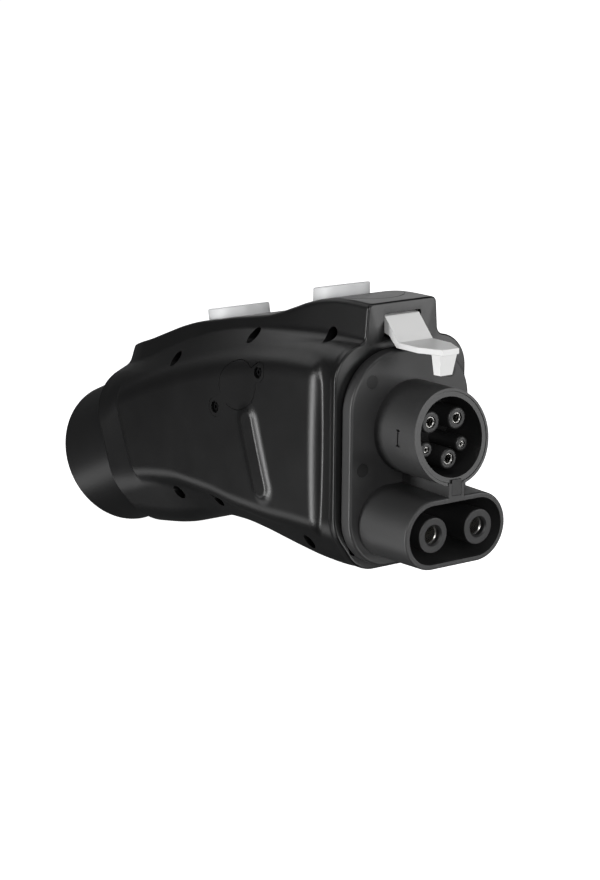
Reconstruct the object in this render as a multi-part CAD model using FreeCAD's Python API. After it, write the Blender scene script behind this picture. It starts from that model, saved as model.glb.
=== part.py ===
import FreeCAD, Part
import math
import os

os.makedirs("parts", exist_ok=True)

Vec = FreeCAD.Vector

# Placement of the working frame in the object's own frame.
# Working frame: X across, Y from the plug towards the inlet, Z up, zero on the plug barrel's axis.
frame_shift_y = -139.523
frame_shift_z = 93.305

# Axis of the rear inlet, which hangs down from the plug axis.
inlet_tilt = 23.37
inlet_rim_y = 268.65
inlet_rim_z = -59.41

# Walls and general fits.
wall = 3.0
panel_gap = 0.15
seat_gap = 0.05
slide_gap = 0.4
far = 60.0
over = 6.0

# Depths of the plug flange, its gasket and the housing's front wall.
flange_front = 29.3
flange_back = 35.7
gasket_thick = 0.8
housing_front = flange_back + gasket_thick
front_wall = 3.5

# Barrel of the rear inlet and the collar that holds it.
inlet_r = 37.27
inlet_wall = 3.6
collar_wall = 2.33
collar_half = inlet_r + collar_wall
collar_end = 43.0
rear_wall = 5.2

# Side-view lines of the housing, each a list of (Y, Z) points.
top_line = [(20, 57.9), (60, 57.6), (73, 55.3), (88, 51.0), (104, 44.6), (113, 41.2), (120, 40.0),
            (132, 38.2), (153, 33.4), (181, 26.6), (201, 19.2), (222, 11.5), (240, 4.5), (262, -6.0)]
foot_line = [(20, 40.0), (52, 40.0), (70, 39.5), (90, 37.5), (105, 36.2), (117, 34.8), (129, 33.4),
             (150, 28.0), (176, 20.2), (198, 11.6), (215, 3.6), (240, -8.0), (262, -18.0)]
belly_line = [(20, -67.6), (46, -68.8), (60, -69.0), (75, -67.5), (95, -65.0), (110, -64.0),
              (122, -63.5), (136, -63.8), (150, -66.5), (163, -70.5), (177, -76.0), (191, -80.5),
              (206, -84.5), (220, -88.0), (240, -93.0), (262, -99.0)]
crease_top = [(20, 30.5), (66, 30.0), (87, 28.2), (110, 24.6), (135, 18.8), (160, 11.3),
              (182, 3.8), (203, -4.3), (230, -15.0)]
crease_low = [(20, -52.0), (72, -52.0), (102, -53.7), (122, -52.0), (143, -50.0), (165, -50.5),
              (182, -53.5), (200, -57.0), (230, -64.0)]
crease_cover = 3.0

# Housing stations square to the plug axis, from the front face back.
# Each: Y, Z, tilt, spine half width, foot step, shoulder half width, shoulder drop,
# lower side half width, lower side height, belly half width, radii from spine edge to belly.
front_stations = [
    (housing_front, 0.0, 0.0, 20.3, 1.4, 39.2, 3.5, 39.2, 21.0, 24.0, 3.0, 6.0, 24.0, 24.0, 18.0),
    (39.0, 0.0, 0.0, 20.3, 1.4, 39.0, 3.5, 39.0, 21.0, 24.0, 3.0, 6.0, 24.0, 24.0, 18.0),
    (42.5, 0.0, 0.0, 20.3, 1.4, 37.8, 4.0, 37.8, 21.0, 24.0, 3.0, 6.0, 23.0, 22.0, 18.0),
    (48.0, 0.0, 0.0, 20.3, 1.5, 37.4, 4.6, 37.4, 20.5, 24.0, 3.0, 6.0, 22.0, 20.0, 16.0),
    (62.0, -3.0, 2.0, 20.2, 1.6, 37.4, 7.0, 37.2, 19.0, 24.0, 3.0, 6.0, 19.0, 16.0, 14.0),
    (82.0, -8.0, 6.0, 20.0, 1.8, 36.8, 10.0, 36.6, 17.0, 24.0, 3.0, 6.0, 16.0, 14.0, 12.0),
    (104.0, -12.5, 10.0, 19.5, 2.0, 36.4, 12.5, 36.2, 16.0, 24.0, 2.5, 5.0, 14.0, 12.0, 10.0),
    (124.0, -17.0, 14.0, 19.0, 2.2, 36.0, 14.5, 36.0, 15.0, 24.0, 2.2, 4.0, 13.0, 12.0, 10.0),
    (146.0, -21.5, 18.0, 18.6, 2.6, 36.0, 15.5, 36.0, 16.0, 24.0, 2.2, 4.0, 13.0, 12.0, 10.0),
]
# Stations square to the inlet axis: distance forward of the rim, spine half width, foot step,
# shoulder half width, shoulder drop, lower side half width and height, belly half width, radii.
inlet_stations = [
    (95.0, 18.2, 3.0, 36.4, 14.0, 37.2, -28.0, 21.0, 2.2, 4.0, 14.0, 16.0, 14.0),
    (80.0, 17.6, 3.6, 37.0, 12.5, 37.8, -25.0, 22.0, 2.2, 4.5, 17.0, 20.0, 17.0),
    (66.0, 16.0, 4.2, 37.4, 10.0, 38.2, -23.0, 23.0, 2.2, 5.0, 21.0, 24.0, 20.0),
]
# Last stations round the inlet: distance, then the half outline and its radii.
collar_stations = [
    (56.0, [(0, 48.4), (13.2, 48.4), (18.6, 38.6), (37.8, 29.0), (38.2, -22.0), (23.0, -47.6),
            (0, -47.6)], [3.0, 6.0, 24.0, 27.0, 23.0]),
    (49.0, [(0, 49.4), (9.0, 49.4), (14.6, 40.4), (collar_half, 29.5), (collar_half, -21.0),
            (24.0, -46.0), (0, -46.0)], [3.4, 8.0, 27.0, 29.0, 25.0]),
    (collar_end, [(0, 50.0), (6.4, 50.0), (12.2, 40.6), (collar_half, 29.5), (collar_half, -20.0),
                  (24.0, -45.0), (0, -45.0)], [3.4, 9.0, 28.0, 30.0, 26.0]),
]

# Raised side panels.
panel_half = 40.8
panel_ease = 1.6
panel_belly_r = 170.0
panel_top_r = 14.0
panel_low_r = 13.0
panel_front_y = housing_front + 9.0
panel_front_steps = [(0.0, 4.6), (0.9, 2.9), (2.6, 1.4), (5.2, 0.4), (9.0, 0.0)]
panel_rear_at = 61.5
panel_rear_steps = [(0.0, 1.5), (0.7, 0.6), (2.2, 0.0)]
panel_inner = 3.4

# Plug flange and shroud.
flange_half = 35.4
flange_top_z = 36.4
flange_low_z = -65.5
flange_top_r = 27.4
flange_low_r = 24.2
flange_edge_r = 1.4
gasket_inset = 1.0
spigot_depth = 6.0
spigot_round_r = 23.0
spigot_neck_half = 12.0
spigot_oval_r = 17.6

# Round plug barrel with five contacts.
barrel_r = 22.0
barrel_bore_r = 20.75
rim_slant = 10.0
barrel_step_y = 30.0
barrel_tail_r = 18.2
insert_gap = 0.2
insert_r = barrel_bore_r - insert_gap
insert_wall = 2.25
insert_bore_r = insert_r - insert_wall
tab_root = 0.6
insert_floor_y = 25.0
tab_half = 2.75
tab_gap = 0.2
tab_low_z = -26.4
neck_half = 4.6
slit_y = 12.3
slit_half = 3.6
slit_width = 0.9
slit_serif = 2.6

# Contact positions (X, Z) and sleeve sizes: outer radius, face Y.
power_x = 7.85
power_z = 6.8
earth_z = -10.6
pilot_x = 10.65
pilot_z = -5.6
power_sleeve = (5.25, 5.7)
earth_sleeve = (4.8, 1.7)
pilot_sleeve = (3.6, 5.1)
power_contact_r = 2.75
power_bore_r = 1.85
pilot_contact_r = 1.6
pilot_bore_r = 0.8
sleeve_round = 1.2
contact_recess = 0.7
contact_bore_depth = 20.0
contact_tail_y = 47.0
contact_tail_r = 1.5

# Two large direct-current contacts below.
dc_x = 13.5
dc_z = -43.4
dc_face_y = -4.07
dc_block_r = 16.35
dc_block_base_r = 17.1
dc_wall = 2.4
dc_floor_y = 25.0
dc_floor_thick = 5.0
dc_rim_round = 0.9
dc_sleeve_r = 8.4
dc_mouth_r = 4.4
dc_mouth_ease = 0.75
dc_contact_r = 6.0
dc_contact_bore = 4.05
dc_contact_face = -0.9
dc_carrier_thick = 4.0
dc_lug_half = 6.0
dc_lug_thick = 4.0
dc_lug_end = 58.0
dc_bolt_y = 51.5
dc_mouth_depth = 10.0
dc_bore_ease = 0.5
dc_bore_point = 2.0

# Flange screws under small round plugs.
flange_screw_at = [(23.4, 23.3), (28.4, -17.6)]
flange_plug_r = 3.3
flange_plug_thick = 1.6
flange_screw_head_r = 2.9
flange_screw_head_h = 2.2
flange_screw_r = 1.6
flange_screw_end = 50.0
flange_boss_r = 4.2
flange_boss_floor = 1.5

# Latch lever, its pin and spring.
latch_half = 10.2
latch_nose_half = 4.8
latch_taper_y = 13.7
latch_tip_y = 2.0
latch_plate_top = 40.6
latch_plate_low = 37.8
latch_plate_y = 27.0
latch_neck = [(37.2, 51.4), (42.0, 52.2)]
latch_throat = [(36.6, 43.5), (34.6, 43.0)]
latch_arm_half = 6.0
pivot_y = 46.0
pivot_z = 48.0
pivot_hub_r = 4.3
pivot_r = 2.0
pivot_clear = 0.06
pivot_half = 18.6
hook_low_z = 27.9
hook_front_y = 4.8
hook_back_y = 9.6
hook_top_half = 5.2
hook_low_half = 3.4
hook_splay = 0.6
slot_half = 10.9
slot_top_z = 52.8
slot_low_z = 41.3
release_y = 82.3
arm_end_y = release_y + 7.7
arm_top_z = 41.3
arm_low_z = 38.3
arm_top_bends = [(53.0, 50.6), (61.5, 49.6)]
arm_low_bends = [(60.0, 45.2), (52.0, 44.9)]
arm_root_up = 3.6
arm_root_down = 3.2
arm_level_y = 70.0
latch_spring_y = release_y + 3.7
latch_spring_r = 3.2
latch_spring_wire = 0.45
latch_spring_low_z = 26.0
latch_spring_turns = 6

# Front release button.
release_r = 13.5
release_top_z = 58.4
release_low_z = 44.2
release_wall = 1.8
release_dish = 1.1
release_stem_r = 3.0
release_ear = 2.0
release_ear_half = 3.0
release_ear_top = 48.6
release_ear_thick = 2.0

# Rear start button, square to the sloping spine.
start_y = 164.0
start_z = 30.75
start_tilt = 12.5
start_r = 15.5
start_rise = 5.6
start_drop = 6.0
start_wall = 1.8
start_dish = 1.1
start_stem_r = 2.4
start_stem_end = -10.9
start_ear_half = 5.0
start_ear_reach = 17.4
start_ear_top = -4.6
start_ear_thick = 1.9
start_spring_r = 5.4
start_spring_wire = 0.5
start_spring_turns = 5
switch_board_top = -16.0
switch_board_thick = 1.6
switch_board_half_x = 17.0
switch_board_half_y = 11.0
switch_half = 3.0
switch_height = 2.6
switch_cap_r = 1.7
switch_cap_rise = 1.1
shelf_half_y = 6.0
shelf_inner = 14.5
shelf_top = -13.6
shelf_low = -19.2

# Rear inlet.
inlet_groove_depth = 2.07
inlet_groove_r = inlet_r - inlet_groove_depth
inlet_groove = (49.8, 54.2)
inlet_inner_end = 60.0
inlet_floor = 44.0
inlet_floor_end = 52.0
inlet_rim_round = 0.8
inlet_rib_r = inlet_groove_r + 0.15
inlet_rib = (50.0, 54.0)
inlet_clear = 0.12
inlet_seal_r = 0.74
inlet_seal_at = 46.6
seal_groove_half = 1.1
seal_groove_depth = 1.6
inlet_tail_ease = 0.2
inlet_lip_thick = 2.5
block_clear = 0.1
block_tail_end = 58.0
inlet_dc_x = 13.5
inlet_dc_r = 4.5
inlet_dc_tip = 12.0
inlet_dc_shroud = (10.2, 8.0)
inlet_shroud_tip = 7.0
inlet_lug_end = 78.0
inlet_bolt_at = 70.0
cluster_v = 19.5
cluster_shroud = (9.6, 8.0)
cluster_pin_ring = 4.4
cluster_pins = 4
cluster_pin_r = 1.2
cluster_pin_tip = 14.0
cluster_pin_tail = 64.0
key_half = 3.0
key_depth = 1.4

# Copper bars from the inlet to the plug.
bar_half = 6.0
bar_thick = 3.0
bar_front_y = 45.0
bar_rear_at = 62.0
bolt_r = 2.5
bolt_head_r = 4.0
bolt_head_h = 3.2
bolt_nut_h = 3.0
bolt_past_nut = 1.5
bolt_clear = 0.1
bar_bend_y = 163.0
bar_crest = 8.0
bar_lift_at = 81.0
dc_carrier_r = 14.9
dc_sleeve_round = 0.6
dc_bore_depth = 32.0
insert_recess = 0.3
insert_tab_end = 20.0
insert_tail_y = 33.0
latch_round = 0.5
hook_top_front = 3.6
stem_gap = 0.2
stem_tip_r = 1.2
inlet_lip = 1.6
inlet_pin_round = 2.0

# Control board, service socket and backup cell, on posts in the left half.
board_x = -23.0
board_thick = 1.6
board_centre = (131.0, 2.5)
board_half_along = 42.0
board_half_up = 15.0
board_tilt = 14.0
post_r = 3.0
post_hole_r = 1.25
post_hole_depth = 8.5
post_inset_along = 3.5
post_inset_up = 7.0
post_along = board_half_along - post_inset_along
post_up = board_half_up - post_inset_up
post_at = [(-post_along, post_up), (post_along, post_up), (-post_along, -post_up), (post_along, -post_up)]
board_screw_head_r = 2.4
board_screw_head_h = 1.6
board_screw_len = 7.0
socket_along = -21.2
socket_up = 2.2
socket_half_along = 6.2
socket_half_up = 3.4
socket_reach = -34.5
socket_shell = 0.6
socket_tongue = 0.9
socket_tongue_inset = 2.0
chip_sizes = [(2.0, -3.0, 7.0, 7.0, 1.6), (19.0, 5.0, 5.0, 3.5, 2.4), (20.0, -7.0, 4.0, 4.0, 3.0)]
cell_r = 9.2
cell_half = 32.5
cell_x = -10.8
cell_cap_r = 3.0
cell_cap = 1.0
cradle_wall = 1.6
cradle_half = 34.2

# Service hatch in the left side panel.
hatch_centre = (111.0, 9.8)
hatch_long = 14.8
hatch_short = 11.8
hatch_tilt = 15.0
hatch_screw_at = [(94.9, 18.7), (128.7, -4.0)]
hatch_ear_r = 4.7
hatch_thick = 2.2
hatch_ledge = 2.6
hatch_screw_r = 1.2
hatch_screw_head_r = 2.1
hatch_screw_head_h = 1.4
hatch_screw_sink = 1.6
hatch_screw_len = 7.0
hatch_recess_r = 2.5
hatch_pocket_depth = 12.0
hatch_window_depth = 7.0
hatch_boss_r = 3.2
hatch_boss_depth = 9.0

# Finger rib on each side panel.
rib_round = 1.1
rib_a = (100.4, -1.6)
rib_b = (88.9, -42.4)
rib_r = 3.2
rib_rise = 1.2
rib_base = 3.0

# Housing screws along X: Y, Z, depth of the head seat, outer boss radius.
screw_at = [(57.5, 39.8, 17.5), (117.3, 31.2, 21.0), (184.0, 8.8, 21.0),
            (180.7, -60.5, 24.0), (149.0, -56.6, 26.0), (73.0, -60.6, 26.0)]
screw_recess_r = 3.3
screw_head_r = 3.0
screw_head_h = 2.4
screw_r = 1.5
screw_hole_r = 1.7
screw_pilot_r = 1.55
screw_reach = 14.0
boss_outer_r = 4.8
boss_inner_r = 3.5
boss_floor = 2.0
spring_seat_half = 5.0
spring_seat_thick = 4.0
pin_pad_wall = 2.4

inlet_fwd = Vec(0, -math.cos(math.radians(inlet_tilt)), math.sin(math.radians(inlet_tilt)))
inlet_up = Vec(0, math.sin(math.radians(inlet_tilt)), math.cos(math.radians(inlet_tilt)))
inlet_rim = Vec(0, inlet_rim_y, inlet_rim_z)
across = Vec(1, 0, 0)
along_y = Vec(0, 1, 0)
upward = Vec(0, 0, 1)


def inlet_point(at, u=0.0, v=0.0):
    # A point given forward of the inlet rim, across and up in the inlet's own frame.
    return inlet_rim + inlet_fwd * at + across * u + inlet_up * v


def save(name, shape):
    moved = shape.copy()
    moved.translate(Vec(0, frame_shift_y, frame_shift_z))
    moved.exportStep("parts/" + name + ".step")


def fuse_all(shapes):
    first = shapes[0]
    if len(shapes) > 1:
        first = first.fuse(shapes[1:])
    return first.removeSplitter()


def box(x0, x1, y0, y1, z0, z1):
    return Part.makeBox(x1 - x0, y1 - y0, z1 - z0, Vec(x0, y0, z0))


def rod(r, start, direction, length):
    return Part.makeCylinder(r, length, start, direction)


def turned(profile, base, direction):
    # A solid of revolution; the profile holds (radius, distance along the axis) corners.
    points = [Vec(r, 0, s) for r, s in profile]
    face = Part.Face(Part.makePolygon(points + [points[0]]))
    solid = face.revolve(Vec(0, 0, 0), upward, 360)
    solid.Placement = FreeCAD.Placement(base, FreeCAD.Rotation(upward, direction))
    return solid


def prism_x(points, x0, x1):
    # An outline of (Y, Z) points carried across from x0 to x1.
    corners = [Vec(x0, y, z) for y, z in points]
    face = Part.Face(Part.makePolygon(corners + [corners[0]]))
    return face.extrude(Vec(x1 - x0, 0, 0))


def mirrored(shape):
    return shape.mirror(Vec(0, 0, 0), across)


def line_cross(line, yc, zc, tilt):
    # Height at which a side-view line crosses a station plane.
    s = math.sin(tilt)
    c = math.cos(tilt)
    for (y0, z0), (y1, z1) in zip(line, line[1:]):
        n0 = (y0 - yc) * c - (z0 - zc) * s
        n1 = (y1 - yc) * c - (z1 - zc) * s
        if n0 <= 0 < n1:
            k = n0 / (n0 - n1)
            return (y0 + k * (y1 - y0) - yc) * s + (z0 + k * (z1 - z0) - zc) * c
    return line[-1][1]


def inset_chain(points, amount):
    # Moves every side of a half outline inwards by the same amount.
    if amount == 0:
        return list(points)
    lines = []
    for (u0, v0), (u1, v1) in zip(points, points[1:]):
        length = math.hypot(u1 - u0, v1 - v0)
        nu = (v1 - v0) / length
        nv = -(u1 - u0) / length
        lines.append(((u0 + nu * amount, v0 + nv * amount), (u1 + nu * amount, v1 + nv * amount)))
    result = [(points[0][0], lines[0][0][1])]
    for (a, b), (c, d) in zip(lines, lines[1:]):
        den = (b[0] - a[0]) * (d[1] - c[1]) - (b[1] - a[1]) * (d[0] - c[0])
        k = ((c[0] - a[0]) * (d[1] - c[1]) - (c[1] - a[1]) * (d[0] - c[0])) / den
        result.append((a[0] + k * (b[0] - a[0]), a[1] + k * (b[1] - a[1])))
    result.append((points[-1][0], lines[-1][1][1]))
    return result


def corner_turn(p0, p1, p2):
    # Positive where the outline bulges outwards.
    return -((p1[0] - p0[0]) * (p2[1] - p1[1]) - (p1[1] - p0[1]) * (p2[0] - p1[0]))


def half_wire(points, radii, yc, zc, tilt, amount, start_u):
    # Closed outline of the half with X below zero, its corners rounded, in a tilted plane.
    s = math.sin(tilt)
    c = math.cos(tilt)
    chain = inset_chain(points, amount)
    rounds = []
    for i, radius in enumerate(radii):
        bulge = corner_turn(points[i], points[i + 1], points[i + 2])
        rounds.append(max(0.6, radius - amount if bulge > 0 else radius + amount))
    tangents = []
    halves = []
    for i in range(1, len(chain) - 1):
        ax, ay = chain[i - 1][0] - chain[i][0], chain[i - 1][1] - chain[i][1]
        bx, by = chain[i + 1][0] - chain[i][0], chain[i + 1][1] - chain[i][1]
        cosine = (ax * bx + ay * by) / (math.hypot(ax, ay) * math.hypot(bx, by))
        half = math.acos(max(-1.0, min(1.0, cosine))) / 2
        halves.append(half)
        tangents.append(rounds[i - 1] / math.tan(half))
    for i in range(len(chain) - 1):
        length = math.hypot(chain[i + 1][0] - chain[i][0], chain[i + 1][1] - chain[i][1])
        before = tangents[i - 1] if i > 0 else 0.0
        after = tangents[i] if i < len(tangents) else 0.0
        if before + after > 0.96 * length:
            scale = 0.96 * length / (before + after)
            if i > 0:
                tangents[i - 1] *= scale
            if i < len(tangents):
                tangents[i] *= scale

    def world(u, v):
        return Vec(-u, yc + v * s, zc + v * c)

    edges = []
    current = world(start_u, chain[0][1])
    for i in range(1, len(chain) - 1):
        p = chain[i]
        la = math.hypot(chain[i - 1][0] - p[0], chain[i - 1][1] - p[1])
        lb = math.hypot(chain[i + 1][0] - p[0], chain[i + 1][1] - p[1])
        da = ((chain[i - 1][0] - p[0]) / la, (chain[i - 1][1] - p[1]) / la)
        db = ((chain[i + 1][0] - p[0]) / lb, (chain[i + 1][1] - p[1]) / lb)
        t = tangents[i - 1]
        half = halves[i - 1]
        reach = t / math.cos(half) - t * math.tan(half)
        bis = (da[0] + db[0], da[1] + db[1])
        size = math.hypot(bis[0], bis[1])
        begin = world(p[0] + da[0] * t, p[1] + da[1] * t)
        middle = world(p[0] + bis[0] / size * reach, p[1] + bis[1] / size * reach)
        end = world(p[0] + db[0] * t, p[1] + db[1] * t)
        edges.append(Part.makeLine(current, begin))
        edges.append(Part.Arc(begin, middle, end).toShape())
        current = end
    last = world(start_u, chain[-1][1])
    edges.append(Part.makeLine(current, last))
    edges.append(Part.makeLine(last, world(start_u, chain[0][1])))
    return Part.Wire(edges)


def body_outlines():
    # Half outlines of the housing at every station, from the front face to the collar.
    outlines = []
    for (yc, zc, deg, w_top, step, w_sh, drop, w_low, rise, w_belly, r1, r2, r3, r4, r5) in front_stations:
        tilt = math.radians(deg)
        top = line_cross(top_line, yc, zc, tilt)
        foot = line_cross(foot_line, yc, zc, tilt)
        low = line_cross(belly_line, yc, zc, tilt)
        points = [(0, top), (w_top, top), (w_top + step, foot), (w_sh, foot - drop),
                  (w_low, low + rise), (w_belly, low), (0, low)]
        outlines.append((points, [r1, r2, r3, r4, r5], yc, zc, tilt))
    for (at, w_top, step, w_sh, drop, w_low, v_low, w_belly, r1, r2, r3, r4, r5) in inlet_stations:
        tilt = math.radians(inlet_tilt)
        spot = inlet_point(at)
        top = line_cross(top_line, spot.y, spot.z, tilt)
        foot = line_cross(foot_line, spot.y, spot.z, tilt)
        low = line_cross(belly_line, spot.y, spot.z, tilt)
        points = [(0, top), (w_top, top), (w_top + step, foot), (w_sh, foot - drop),
                  (w_low, v_low), (w_belly, low), (0, low)]
        outlines.append((points, [r1, r2, r3, r4, r5], spot.y, spot.z, tilt))
    for at, points, radii in collar_stations:
        spot = inlet_point(at)
        outlines.append((points, radii, spot.y, spot.z, math.radians(inlet_tilt)))
    return outlines


def panel_outlines(extra):
    # Half outlines of the raised side panel; the ends are drawn in to round them.
    stops = []
    for step, draw in panel_front_steps:
        stops.append((panel_front_y + step, 0.0, 0.0, draw))
    for station in front_stations:
        if station[0] > panel_front_y + panel_front_steps[-1][0] + 2:
            stops.append((station[0], station[1], math.radians(station[2]), 0.0))
    for station in inlet_stations[:2]:
        spot = inlet_point(station[0])
        stops.append((spot.y, spot.z, math.radians(inlet_tilt), 0.0))
    for step, draw in reversed(panel_rear_steps):
        spot = inlet_point(panel_rear_at + step)
        stops.append((spot.y, spot.z, math.radians(inlet_tilt), draw))
    outlines = []
    for yc, zc, tilt, draw in stops:
        top = line_cross(crease_top, yc, zc, tilt) + crease_cover
        low = line_cross(crease_low, yc, zc, tilt) - crease_cover
        edge = panel_half - panel_ease
        points = [(0, top), (edge, top), (panel_half, (top + low) / 2), (edge, low), (0, low)]
        radii = [panel_top_r, panel_belly_r, panel_low_r]
        outlines.append((points, radii, yc, zc, tilt, draw + extra))
    return outlines


def body_half(amount, start_u):
    # Left half of the housing's outside, moved inwards by an amount.
    wires = []
    for points, radii, yc, zc, tilt in body_outlines():
        wires.append(half_wire(points, radii, yc, zc, tilt, amount, start_u))
    return Part.makeLoft(wires, True, False)


def panel_half_solid(amount, start_u):
    wires = []
    for points, radii, yc, zc, tilt, draw in panel_outlines(amount):
        wires.append(half_wire(points, radii, yc, zc, tilt, draw, start_u))
    return Part.makeLoft(wires, True, False)


def capsule_yz(a, b, r, x0, x1):
    # A slot shape between two (Y, Z) points carried across X.
    dy = b[0] - a[0]
    dz = b[1] - a[1]
    length = math.hypot(dy, dz)
    ny = -dz / length * r
    nz = dy / length * r
    bar = prism_x([(a[0] + ny, a[1] + nz), (b[0] + ny, b[1] + nz), (b[0] - ny, b[1] - nz),
                   (a[0] - ny, a[1] - nz)], x0, x1)
    ends = [rod(r, Vec(x0, p[0], p[1]), across, x1 - x0) for p in (a, b)]
    return fuse_all([bar] + ends)


def hatch_shape(grow, x0, x1):
    # Oval door with two ears, along X.
    oval = Part.Ellipse(Vec(0, 0, 0), hatch_long + grow, hatch_short + grow).toShape()
    solid = Part.Face(Part.Wire([oval])).extrude(Vec(0, 0, x1 - x0))
    turn = FreeCAD.Rotation(across, hatch_tilt)
    upright = FreeCAD.Rotation(upward, Vec(1, 0, 0))
    solid.Placement = FreeCAD.Placement(Vec(x0, hatch_centre[0], hatch_centre[1]), turn.multiply(upright))
    ears = capsule_yz(hatch_screw_at[0], hatch_screw_at[1], hatch_ear_r + grow, x0, x1)
    return fuse_all([solid, ears])


def surface_x(shape, y, z):
    # X of the housing's left side at a (Y, Z) point.
    line = Part.makeLine(Vec(-far, y, z), Vec(0, y, z))
    return shape.common(line).BoundBox.XMin


def y_face(points_or_wire, y0, y1):
    return Part.Face(points_or_wire).extrude(Vec(0, y1 - y0, 0))


def obround_wire(r, y):
    # Two half circles and two lines round both direct-current contacts.
    left_top = Vec(-dc_x, y, dc_z + r)
    right_top = Vec(dc_x, y, dc_z + r)
    right_low = Vec(dc_x, y, dc_z - r)
    left_low = Vec(-dc_x, y, dc_z - r)
    return Part.Wire([
        Part.makeLine(left_top, right_top),
        Part.Arc(right_top, Vec(dc_x + r, y, dc_z), right_low).toShape(),
        Part.makeLine(right_low, left_low),
        Part.Arc(left_low, Vec(-dc_x - r, y, dc_z), left_top).toShape(),
    ])


def obround(r, y0, y1):
    return y_face(obround_wire(r, y0), y0, y1)


def flange_wire(inset, y):
    half = flange_half - inset
    top = flange_top_z - inset
    low = flange_low_z + inset
    rt = flange_top_r - inset
    rl = flange_low_r - inset
    diag = math.sqrt(0.5)
    tx = half - rt
    tz = top - rt
    lx = half - rl
    lz = low + rl
    return Part.Wire([
        Part.makeLine(Vec(-tx, y, top), Vec(tx, y, top)),
        Part.Arc(Vec(tx, y, top), Vec(tx + rt * diag, y, tz + rt * diag), Vec(half, y, tz)).toShape(),
        Part.makeLine(Vec(half, y, tz), Vec(half, y, lz)),
        Part.Arc(Vec(half, y, lz), Vec(lx + rl * diag, y, lz - rl * diag), Vec(lx, y, low)).toShape(),
        Part.makeLine(Vec(lx, y, low), Vec(-lx, y, low)),
        Part.Arc(Vec(-lx, y, low), Vec(-lx - rl * diag, y, lz - rl * diag), Vec(-half, y, lz)).toShape(),
        Part.makeLine(Vec(-half, y, lz), Vec(-half, y, tz)),
        Part.Arc(Vec(-half, y, tz), Vec(-tx - rt * diag, y, tz + rt * diag), Vec(-tx, y, top)).toShape(),
    ])


def spigot_shape(grow, y0, y1):
    # Round, neck and oval together, as they pass through the housing's front wall.
    round_part = rod(spigot_round_r + grow, Vec(0, y0, 0), along_y, y1 - y0)
    neck = box(-spigot_neck_half - grow, spigot_neck_half + grow, y0, y1, dc_z, 0)
    oval = obround(spigot_oval_r + grow, y0, y1)
    return fuse_all([round_part, neck, oval])


def rim_cutter(recess):
    # Removes what lies in front of the slanted rim of the round barrel.
    slope = math.tan(math.radians(rim_slant))
    return prism_x([(-far, -far), (-far * slope + recess, -far), (far * slope + recess, far),
                    (-far, far)], -far, far)


def edges_at_y(shape, y, tolerance=0.01):
    found = []
    for edge in shape.Edges:
        bounds = edge.BoundBox
        if abs(bounds.YMin - y) < tolerance and abs(bounds.YMax - y) < tolerance:
            found.append(edge)
    return found


def start_place():
    # Frame of the rear button: its Z is the button's own axis.
    return FreeCAD.Placement(Vec(0, start_y, start_z), FreeCAD.Rotation(across, -start_tilt))


def board_place():
    # Frame of the control board: X across, Y along the board, Z up the board.
    return FreeCAD.Placement(Vec(0, board_centre[0], board_centre[1]), FreeCAD.Rotation(across, -board_tilt))


def placed(shape, placement):
    copy = shape.copy()
    copy.Placement = placement.multiply(copy.Placement)
    return copy


def inlet_box(u0, u1, v0, v1, a0, a1):
    corner = [inlet_point(a0, u, v) for u, v in ((u0, v0), (u1, v0), (u1, v1), (u0, v1))]
    face = Part.Face(Part.makePolygon(corner + [corner[0]]))
    return face.extrude(inlet_fwd * (a1 - a0))


def inlet_rod(r, a0, a1, u=0.0, v=0.0):
    return rod(r, inlet_point(a0, u, v), inlet_fwd, a1 - a0)


def dished_cap(r, height, wall_r, roof, dish):
    # Button cap open below, with a rounded edge and a dished top.
    ease = roof / 2
    flat_r = r - ease * 1.6
    outline = [(r - wall_r, 0.0), (r, 0.0), (r, height - ease), (r - ease * 0.3, height - ease * 0.3),
               (r - ease, height), (flat_r, height)]
    steps = 6
    for i in range(1, steps):
        part = flat_r * (1 - i / steps)
        outline.append((part, height - dish * (1 - (part / flat_r) ** 2)))
    outline.append((0.0, height - dish))
    outline.append((0.0, height - dish - roof))
    outline.append((r - wall_r, height - dish - roof))
    return turned(outline, Vec(0, 0, 0), upward)


def coil(r, wire_r, height, turns):
    # Compression spring standing on the XY plane.
    rise = height - 2 * wire_r
    path = Part.Wire(Part.makeHelix(rise / turns, rise, r))
    ring = Part.Wire([Part.makeCircle(wire_r, Vec(r, 0, 0), Vec(0, 1, rise / turns / (2 * math.pi * r)))])
    solid = path.makePipeShell([ring], True, False)
    solid.translate(Vec(0, 0, wire_r))
    return solid


def hexagon(r, base, direction, length):
    corners = []
    for i in range(7):
        angle = math.radians(60 * i)
        corners.append(Vec(r * math.cos(angle), r * math.sin(angle), 0))
    solid = Part.Face(Part.makePolygon(corners)).extrude(Vec(0, 0, length))
    solid.Placement = FreeCAD.Placement(base, FreeCAD.Rotation(upward, direction))
    return solid


def screw(head_r, head_h, shank_r, length, base, direction):
    # Pan head screw; the base is the seat under the head, the direction is the way it drives.
    ease = head_h / 3
    profile = [(0, length), (shank_r * 0.6, length), (shank_r, length - shank_r), (shank_r, 0), (head_r, 0),
               (head_r, -head_h + ease), (head_r - ease, -head_h), (0, -head_h)]
    body = turned(profile, base, direction)
    back = Vec(direction) * -head_h
    socket = hexagon(head_r * 0.45, base + back, direction, head_h * 0.6)
    return body.cut(socket)


def hatch_window():
    # The oval hole behind the hatch, smaller by the ledge it rests on.
    oval = Part.Ellipse(Vec(0, 0, 0), hatch_long - hatch_ledge, hatch_short - hatch_ledge).toShape()
    solid = Part.Face(Part.Wire([oval])).extrude(Vec(0, 0, far))
    turn = FreeCAD.Rotation(across, hatch_tilt)
    upright = FreeCAD.Rotation(upward, Vec(1, 0, 0))
    solid.Placement = FreeCAD.Placement(Vec(-far, hatch_centre[0], hatch_centre[1]), turn.multiply(upright))
    return solid.common(box(-far, -panel_half + hatch_window_depth, 0, 3 * far, -far, far))


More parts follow.
